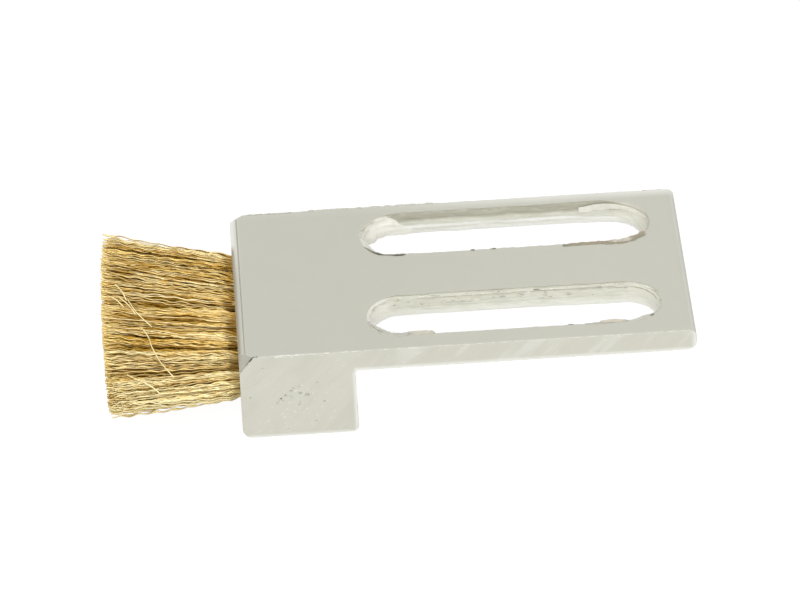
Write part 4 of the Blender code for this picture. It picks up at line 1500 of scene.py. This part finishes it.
# %% What the tuft tree knows about each wire
class Wire:
    """The numbers of each wire and of each of its points."""

    def __init__(self, writer, size):
        self.writer, self.size = writer, size
        self.number = writer.add("GeometryNodeCurveOfPoint").outputs["Curve Index"]
        self.along = writer.add("GeometryNodeSplineParameter").outputs["Factor"]
        self.start_in_hole()
        self.reach_out()

    def chance(self, low, high, seed):
        """A number for each wire, the same at every point of it."""
        node = self.writer.add("FunctionNodeRandomValue", {
            2: low, 3: high, "ID": self.number,
        }, data_type="FLOAT")
        self.writer.feed(node.inputs["Seed"], self.writer.math("ADD", self.size["Seed"], seed))
        return node.outputs[1]

    def on_circle(self, turn):
        """The two side places at the wire's distance from the middle of its tuft."""
        maths = self.writer.math
        return [maths("MULTIPLY", self.root, maths(operation, turn)) for operation in ("COSINE", "SINE")]

    def start_in_hole(self):
        """On a sunflower spiral, in a lock of neighbours that it shares its crimp with."""
        writer, size, maths = self.writer, self.size, self.writer.math
        self.turn = maths("MULTIPLY", self.number, GOLDEN_ANGLE)
        self.share = maths("SQRT", maths("DIVIDE", maths("ADD", self.number, 0.5), size["Wires"]))
        self.root = maths("MULTIPLY", size["Root radius"], self.share)
        self.root_y, self.root_z = self.on_circle(self.turn)
        seat = writer.join(self.root_y, self.root_z, 0.0)
        seat = writer.scaled(seat, maths("DIVIDE", 1.0, size["Lock size"]))
        self.cell = writer.vector("ADD", seat, writer.join(maths("MULTIPLY", size["Seed"], 0.173), 0.0, 0.0))
        lock = writer.add("ShaderNodeTexVoronoi", {
            "Vector": self.cell, "Scale": 1.0, "Randomness": 0.9,
        }, voronoi_dimensions="3D")
        self.pull = writer.vector("SUBTRACT", lock.outputs["Position"], self.cell)
        self.shared_phase, self.shared_turn, self.shared_tone = writer.split(lock.outputs["Color"])

    def reach_out(self):
        """How far it reaches past the end face, with the trim of the field and its corners."""
        writer, size, maths = self.writer, self.size, self.writer.math
        across = maths("DIVIDE", maths("ADD", size["Middle"], self.root_y), size["Row half"])
        squared = maths("MULTIPLY", across, across)
        past_corner = maths("MAXIMUM", maths("SUBTRACT", squared, 1.02), 0.0)
        trimmed = writer.total(
            writer.product(size["Trim"], squared), writer.product(size["Corner trim"], past_corner))
        ragged = maths("MULTIPLY", size["Ragged tips"], self.chance(0, 1, 11))
        reach = maths("SUBTRACT", maths("SUBTRACT", size["Length"], trimmed), ragged)
        way = maths("MULTIPLY", self.along, maths("ADD", reach, size["Sink"]))
        self.travelled = maths("SUBTRACT", way, size["Sink"])
        self.out = maths("MAXIMUM", maths("DIVIDE", self.travelled, size["Length"]), 0.0)


# %% The wire's crimp, wander and depth
def wire_crimp(writer, size, wire):
    """Its waves along Y and Z, in a plane that the lock shares, and the curl that makes them round."""
    maths, ramp = writer.math, writer.ramp
    pitch = maths("ADD", ramp(wire.shared_phase, 0.0, 1.0, 0.90, 1.10), wire.chance(-0.025, 0.025, 23))
    pitch = maths("MULTIPLY", size["Crimp pitch"], pitch)
    phase = maths("ADD", maths("MULTIPLY", wire.shared_phase, 2 * math.tau), wire.chance(-0.8, 0.8, 31))
    cycle = maths("ADD", maths("MULTIPLY", maths("DIVIDE", wire.travelled, pitch), math.tau), phase)
    swing = ramp(wire.out, 0.0, 0.10, 0.5, 1.0)
    swing = writer.product(swing, wire.chance(0.5, 1.4, 37), size["Crimp height"])
    crimp = maths("MULTIPLY", swing, maths("SINE", cycle))
    curl = writer.product(swing, size["Curl"], maths("MULTIPLY", maths("COSINE", cycle), -1.0))
    turn = maths("MULTIPLY_ADD", wire.shared_turn, 2.4, math.pi / 2 - 1.2)
    turn = maths("ADD", turn, wire.chance(-0.25, 0.25, 41))
    crimp_y, crimp_z = (maths("MULTIPLY", crimp, maths(operation, turn)) for operation in ("COSINE", "SINE"))
    return crimp_y, crimp_z, curl


def wire_wander(writer, size, wire):
    """How far its slow wander goes, its two side shares, and the pull towards the middle of its lock."""
    maths = writer.math
    drift = writer.vector("ADD", wire.cell, writer.join(0.0, 0.0, maths("MULTIPLY", wire.out, 3.4)))
    drift = writer.add("ShaderNodeTexNoise", {"Vector": drift, "Scale": 0.7, "Detail": 1.0})
    drift = writer.vector("SUBTRACT", drift.outputs["Color"], (0.5, 0.5, 0.5))
    loose = maths("ADD", 1.0, maths("MULTIPLY", maths("POWER", wire.chance(0, 1, 43), 6.0), 0.35))
    wander = writer.product(loose, wire.out, size["Wander"])
    tighter = writer.ramp(wire.out, 0.0, 0.45, 0.6, 1.7)
    gathered = writer.product(size["Lock size"], size["Lock pull"], tighter)
    drift_y, _, drift_z = writer.split(drift)
    return wander, drift_y, drift_z, gathered


def wire_depth(writer, size, wire):
    """How low in its tuft it lies, how deep among the others and how near the root, painted as brown shade.
    """
    maths, ramp = writer.math, writer.ramp
    low_down = ramp(maths("DIVIDE", wire.root_z, size["Root radius"]), 0.35, -0.35, 0.0, 0.8)
    low_down = maths("MULTIPLY", low_down, size["Underside shade"])
    inside_tuft = maths("ADD", ramp(wire.share, 0.95, 0.72, 0.0, 0.75), maths("MINIMUM", low_down, 0.0))
    between_locks = ramp(writer.vector("LENGTH", wire.pull), 0.30, 0.62, 0.0, 0.4)
    at_root = ramp(wire.out, 0.0, 0.13, 0.45, 0.0)
    return low_down, writer.total(maths("MAXIMUM", low_down, inside_tuft), between_locks, at_root)


# %% Where the wire goes
def wire_places(writer, size, wire):
    """The place of each point: a straight wire that fans out, wanders and is crimped."""
    maths, total = writer.math, writer.total
    crimp_y, crimp_z, curl = wire_crimp(writer, size, wire)
    wander, drift_y, drift_z, gathered = wire_wander(writer, size, wire)
    pull_y, pull_z, _ = writer.split(wire.pull)
    turned = maths("SUBTRACT", wire.turn, maths("MULTIPLY", size["Twist"], wire.out))
    turned_y, turned_z = wire.on_circle(turned)
    fan = total(size["Middle"], maths("MULTIPLY", size["Lean"], wire.out), curl)
    rise = maths("ADD", size["Row height"], maths("MULTIPLY", size["Lift"], wire.out))

    def spread(root_place, half):
        """The root place, widened to the tip's half size on the way out."""
        widen = maths("DIVIDE", half, size["Root radius"])
        widen = maths("SUBTRACT", widen, maths("ADD", 1.0, size["Flare"]))
        at_once = maths("ADD", 1.0, maths("MULTIPLY", size["Flare"], writer.ramp(wire.out, -0.02, 0.09)))
        return maths("MULTIPLY", root_place, maths("ADD", at_once, maths("MULTIPLY", widen, wire.out)))

    def sideways(root_place, half, pulled, drifted, shared, seed, crimp, steady):
        """Where a wire lies on one side axis at this point of its length."""
        strayed = maths("MULTIPLY", maths("SUBTRACT", shared, 0.5), 1.7)
        own = total(maths("MULTIPLY", drifted, 2.6), strayed, wire.chance(-0.70, 0.70, seed))
        return total(spread(root_place, half), maths("MULTIPLY", wander, own),
                     writer.product(gathered, pulled), crimp, steady)

    y = sideways(turned_y, size["Tip half width"], pull_y, drift_y, wire.shared_turn, 53, crimp_y, fan)
    z = sideways(turned_z, size["Tip half height"], pull_z, drift_z, wire.shared_tone, 59, crimp_z, rise)
    return writer.join(maths("SUBTRACT", size["End face"], wire.travelled), y, z)


# %% The tuft tree
def straight_wires(writer, size):
    """One straight line of points for each wire."""
    line = writer.add("GeometryNodeCurvePrimitiveLine", {"Start": (0, 0, 0), "End": (1, 0, 0)})
    line = writer.add("GeometryNodeResampleCurve", {"Curve": line, "Count": size["Points a wire"]})
    starts = writer.add("GeometryNodePoints", {"Count": size["Wires"]})
    spread = writer.add("GeometryNodeInstanceOnPoints", {"Points": starts, "Instance": line})
    return writer.add("GeometryNodeRealizeInstances", {"Geometry": spread})


def tuft_tree():
    sizes = [(name, "NodeSocketInt" if isinstance(value, int) else "NodeSocketFloat", value)
             for name, value in WIRE_SIZES.items()]
    places = [(name, "NodeSocketFloat", 0.0) for name in (
        "End face", "Middle", "Row half", "Row height", "Lean", "Tip half width", "Tip half height",
        "Painted light", "Underside shade")]
    writer, size, result = shape_tree("crimped_tuft", (*sizes, *places, ("Seed", "NodeSocketInt", 1)))
    maths = writer.math
    wire = Wire(writer, size)
    bent = writer.add("GeometryNodeSetPosition", {
        "Geometry": straight_wires(writer, size), "Position": wire_places(writer, size, wire),
    })
    # The numbers that its material reads, with the tuft's painted light and its underside's painted shade
    low_down, buried = wire_depth(writer, size, wire)
    tone = writer.ramp(maths("ADD", wire.shared_tone, wire.chance(-0.3, 0.3, 61)), 0.1, 0.9)
    tone = maths("ADD", tone, maths("SUBTRACT", size["Painted light"], maths("MULTIPLY", low_down, 0.5)))
    buried = maths("SUBTRACT", buried, size["Painted light"])
    for label, value in (("wire_tone", tone), ("wire_along", wire.out), ("wire_buried", buried)):
        bent = writer.add("GeometryNodeStoreNamedAttribute", {
            "Geometry": bent, "Name": label, "Value": value,
        }, data_type="FLOAT", domain="POINT")
    # Its section, and the plug that it grows from. Its line carries the radius of the point that it was
    # placed on, which says nothing about a wire, so it isn't used.
    section = writer.add("GeometryNodeCurvePrimitiveCircle", {"Resolution": 3, "Radius": size["Wire radius"]})
    both = writer.add("GeometryNodeJoinGeometry", {"Geometry": size["Geometry"]})
    writer.feed(both.inputs[0], sweep(writer, bent, section, by_radius=False))
    return close_tree(writer, size, result, both)


crimped_tuft = tuft_tree()
print("tuft tree has", len(crimped_tuft.nodes), "nodes")

# %% [markdown]
# ## The folded end in the hole
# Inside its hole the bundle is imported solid, and the anchor lies in the fold. The wires could be led on
# into the hole and round the anchor, but nobody would see them. A rounded plug with a window for the
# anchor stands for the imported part, and the free wires grow out of it.

# %% Plug of a tuft
PLUG_DEPTH, PLUG_RADIUS = 1.3 * MM, 1.4 * MM
PLUG_BOTTOM_X = END_X + 7.7 * MM


def tuft_plug(number):
    """The packed, folded end of one tuft, with a window where its anchor lies."""
    bm = bmesh.new()
    rod_along_x(bm, PLUG_RADIUS, END_X + PLUG_DEPTH, PLUG_BOTTOM_X, tuft_y(number), 24)
    for end, amount in ((PLUG_BOTTOM_X, 0.35 * MM), (END_X + PLUG_DEPTH, 0.2 * MM)):
        rim = [e for e in bm.edges if all(abs(v.co.x - end) < 0.01 * MM for v in e.verts)]
        bmesh.ops.bevel(bm, geom=rim, offset=amount, segments=3, affect="EDGES", profile=0.5)
    plug = from_bmesh(f"wire_tuft_{number}", bm)
    low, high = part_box(f"tuft_anchor_{number}")
    bm = bmesh.new()
    add_block(bm, low, high, (high.x - low.x + 2 * NOTCH_SLACK, high.y - low.y + 2 * NOTCH_SLACK,
                              2 * PLUG_RADIUS + 1 * MM))
    window = from_bmesh("anchor_window", bm)
    subtract(plug, window)
    settle(plug)
    bpy.data.objects.remove(window, do_unlink=True)
    # The plug lies deep in its hole, so it gets painted shade
    for label, value in (("wire_tone", 0.3), ("wire_along", 0.0), ("wire_buried", 0.8)):
        store(plug, label, value)
    return plug


# %% Grow the tufts
tufts = []
for number in NUMBERS:
    lean, half_width, half_height, painted_light, underside_shade = TUFT_SHAPES[number - 1]
    tufts.append(grow(tuft_plug(number), crimped_tuft, {
        **WIRE_SIZES, "End face": END_X, "Middle": tuft_y(number), "Row half": ROW_HALF, "Lean": lean * MM,
        "Tip half width": half_width * MM, "Tip half height": half_height * MM, "Painted light": painted_light,
        "Underside shade": underside_shade, "Row height": ROW_Z, "Seed": 100 * number, "Material": brass,
    }))

# %% [markdown]
# ## Bent wires
# A few wires have been bent out of the field by work and lie across it, and some loose ones stand off
# its edges. They follow no rule, so each is a short path of points, and one small tree smooths and
# sweeps them all.

# %% The tree for bent wires
def bent_wire_tree():
    writer, given, result = shape_tree("bent_wires", (
        ("Step", "NodeSocketFloat", 0.0), ("Wire radius", "NodeSocketFloat", 0.0),
    ))
    paths = writer.add("GeometryNodeMeshToCurve", {"Mesh": given["Geometry"]})
    soft = writer.add("GeometryNodeCurveSplineType", {"Curve": paths}, spline_type="CATMULL_ROM")
    stepped = writer.add("GeometryNodeResampleCurve", {"Curve": soft, "Length": given["Step"]}, mode="LENGTH")
    share = named_number(writer, "burr_thickness")
    sized = writer.add("GeometryNodeSetCurveRadius", {"Curve": stepped, "Radius": share})
    section = writer.add("GeometryNodeCurvePrimitiveCircle", {
        "Resolution": 6, "Radius": given["Wire radius"],
    })
    return close_tree(writer, given, result, sweep(writer, sized, section))


# %% Bent wires
BENT_WIRES = [
    [(-37.0, 6.2, 9.9), (-36.6, 5.4, 10.0), (-36.1, 4.4, 9.9), (-35.6, 3.4, 9.2)],
    [(-36.5, 3.2, 9.9), (-35.7, 1.9, 10.0), (-35.1, 1.0, 9.8), (-34.5, 0.2, 9.2)],
    [(-38.1, 4.4, 9.4), (-37.5, 3.5, 9.8), (-36.9, 2.8, 9.8), (-36.0, 2.0, 9.2)],
    [(-35.4, 2.8, 9.7), (-35.0, 1.3, 10.0), (-34.5, -0.2, 10.1), (-33.5, -2.0, 10.0), (-32.4, -3.1, 9.4)],
    [(-33.9, -3.6, 9.9), (-33.3, -5.2, 10.2), (-32.8, -6.7, 10.2), (-32.5, -8.4, 10.1), (-32.1, -9.7, 10.0),
     (-31.5, -11.5, 9.9), (-31.0, -12.5, 9.8), (-30.3, -13.7, 9.6), (-29.8, -14.2, 9.2)],
    [(-35.9, -13.4, 9.5), (-34.8, -14.7, 9.7), (-33.5, -15.7, 9.6), (-32.7, -16.1, 9.3), (-31.8, -16.6, 8.6)],
]
LOOSE_WIRES = [
    [(-36.4, 18.6, 8.3), (-34.8, 18.3, 8.2), (-32.7, 17.5, 8.0), (-29.4, 16.2, 7.5)],
    [(-35.2, 18.2, 8.4), (-33.4, 17.7, 8.3), (-31.3, 16.9, 8.0), (-28.6, 15.8, 7.6)],
    [(-37.5, -17.6, 7.0), (-36.2, -17.8, 6.9), (-34.8, -17.6, 6.8), (-32.0, -16.9, 6.8)],
    [(-36.4, -18.0, 6.7), (-35.4, -18.0, 6.7), (-34.0, -17.5, 6.7)],
]
bent = burr_paths("bent_wires", [
    ([tuple(v * MM for v in point) for point in wire], share, 0.9)
    for wires, share in ((BENT_WIRES, 1.0), (LOOSE_WIRES, 0.45)) for wire in wires
])
# The bent wires lie on top of the field, so they get painted light
for label, value in (("wire_tone", 1.2), ("wire_along", 0.3), ("wire_buried", -0.3)):
    store(bent, label, value)
grow(bent, bent_wire_tree(), {"Step": 0.30 * MM, "Wire radius": 0.085 * MM, "Material": brass})

# %% [markdown]
# ## Anchors
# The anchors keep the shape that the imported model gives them. They can only be seen in a cut-away, but
# they still get their drawn steel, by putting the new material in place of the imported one.

# %% Anchors
for number in NUMBERS:
    node = frame["nodes"][f"tuft_anchor_{number}"]
    for slot in node.material_slots:
        slot.material = steel
print("anchors dressed:", TUFTS)

# %% [markdown]
# ## Floor
# The brush stands on its block on a white table. The table has to look as white as the surround and
# still show where the brush stands, so what the eye sees of it is mostly its own glow, with a share of
# the light that falls on it, shadow and all. From below it lets the eye through.

# %% Floor
GLOW_SHARE, GLOW = 0.84, 1.12
TABLE_WHITE = (0.92, 0.92, 0.92, 1)


def floor_material():
    material = bpy.data.materials.new("white_table")
    material.use_nodes = True
    writer = TreeWriter(material.node_tree)
    output = material.node_tree.nodes["Material Output"]
    material.node_tree.nodes.remove(material.node_tree.nodes["Principled BSDF"])
    matte = writer.add("ShaderNodeBsdfDiffuse", {"Color": TABLE_WHITE})
    glow = writer.add("ShaderNodeEmission", {"Color": WHITE, "Strength": GLOW})
    share = writer.math("MULTIPLY", seen_directly(writer), GLOW_SHARE)
    seen = writer.add("ShaderNodeMixShader", {0: share, 1: matte, 2: glow})
    clear = writer.add("ShaderNodeBsdfTransparent", {"Color": WHITE})
    path = writer.add("ShaderNodeLightPath")
    under = writer.add("ShaderNodeNewGeometry").outputs["Backfacing"]
    below = writer.math("MULTIPLY", under, path.outputs["Is Camera Ray"])
    writer.feed(output.inputs["Surface"], writer.add("ShaderNodeMixShader", {0: below, 1: seen, 2: clear}))
    return material


FLOOR_HALF, FLOOR_Z = 3.0, -0.01 * MM
floor = mesh_object("white_table", [
    (x * FLOOR_HALF, y * FLOOR_HALF, FLOOR_Z) for x, y in ((-1, -1), (1, -1), (1, 1), (-1, 1))
], [(0, 1, 2, 3)])
floor.data.materials.append(floor_material())
floor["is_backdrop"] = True

# %% [markdown]
# ## Tie the pieces to the imported model
# The brush has no moving parts, so every piece rides on its one body. The worn holder stands for the
# packed holder, and each grown tuft for the imported one.

# %% Tie the pieces
BODY = "root"
FINISHES = {
    "holder_plastic": (holder, slot_burrs, slot_strips, edge_burrs),
    "bristle_brass": (bent, *tufts),
}
for slot, pieces in FINISHES.items():
    for piece in pieces:
        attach(piece, BODY)
    print(slot, "finishes", len(pieces), "pieces")
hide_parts("holder")
for number, tuft in enumerate(tufts, 1):
    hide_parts(f"tuft_{number}")

# %% [markdown]
# ## Measure and finish
# A dressed brush has to be as large as the imported one, or it wouldn't fit where the imported one fits. So
# the last cell measures the box of both and prints them side by side.

# %% Measure and finish
seen_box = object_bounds()
sizes = {"cad": [list(corner) for corner in cad_box], "visual": [list(corner) for corner in seen_box]}
for name, (low, high) in sizes.items():
    print(name, "box in mm:", [round(v / MM, 2) for v in (*low, *high)])
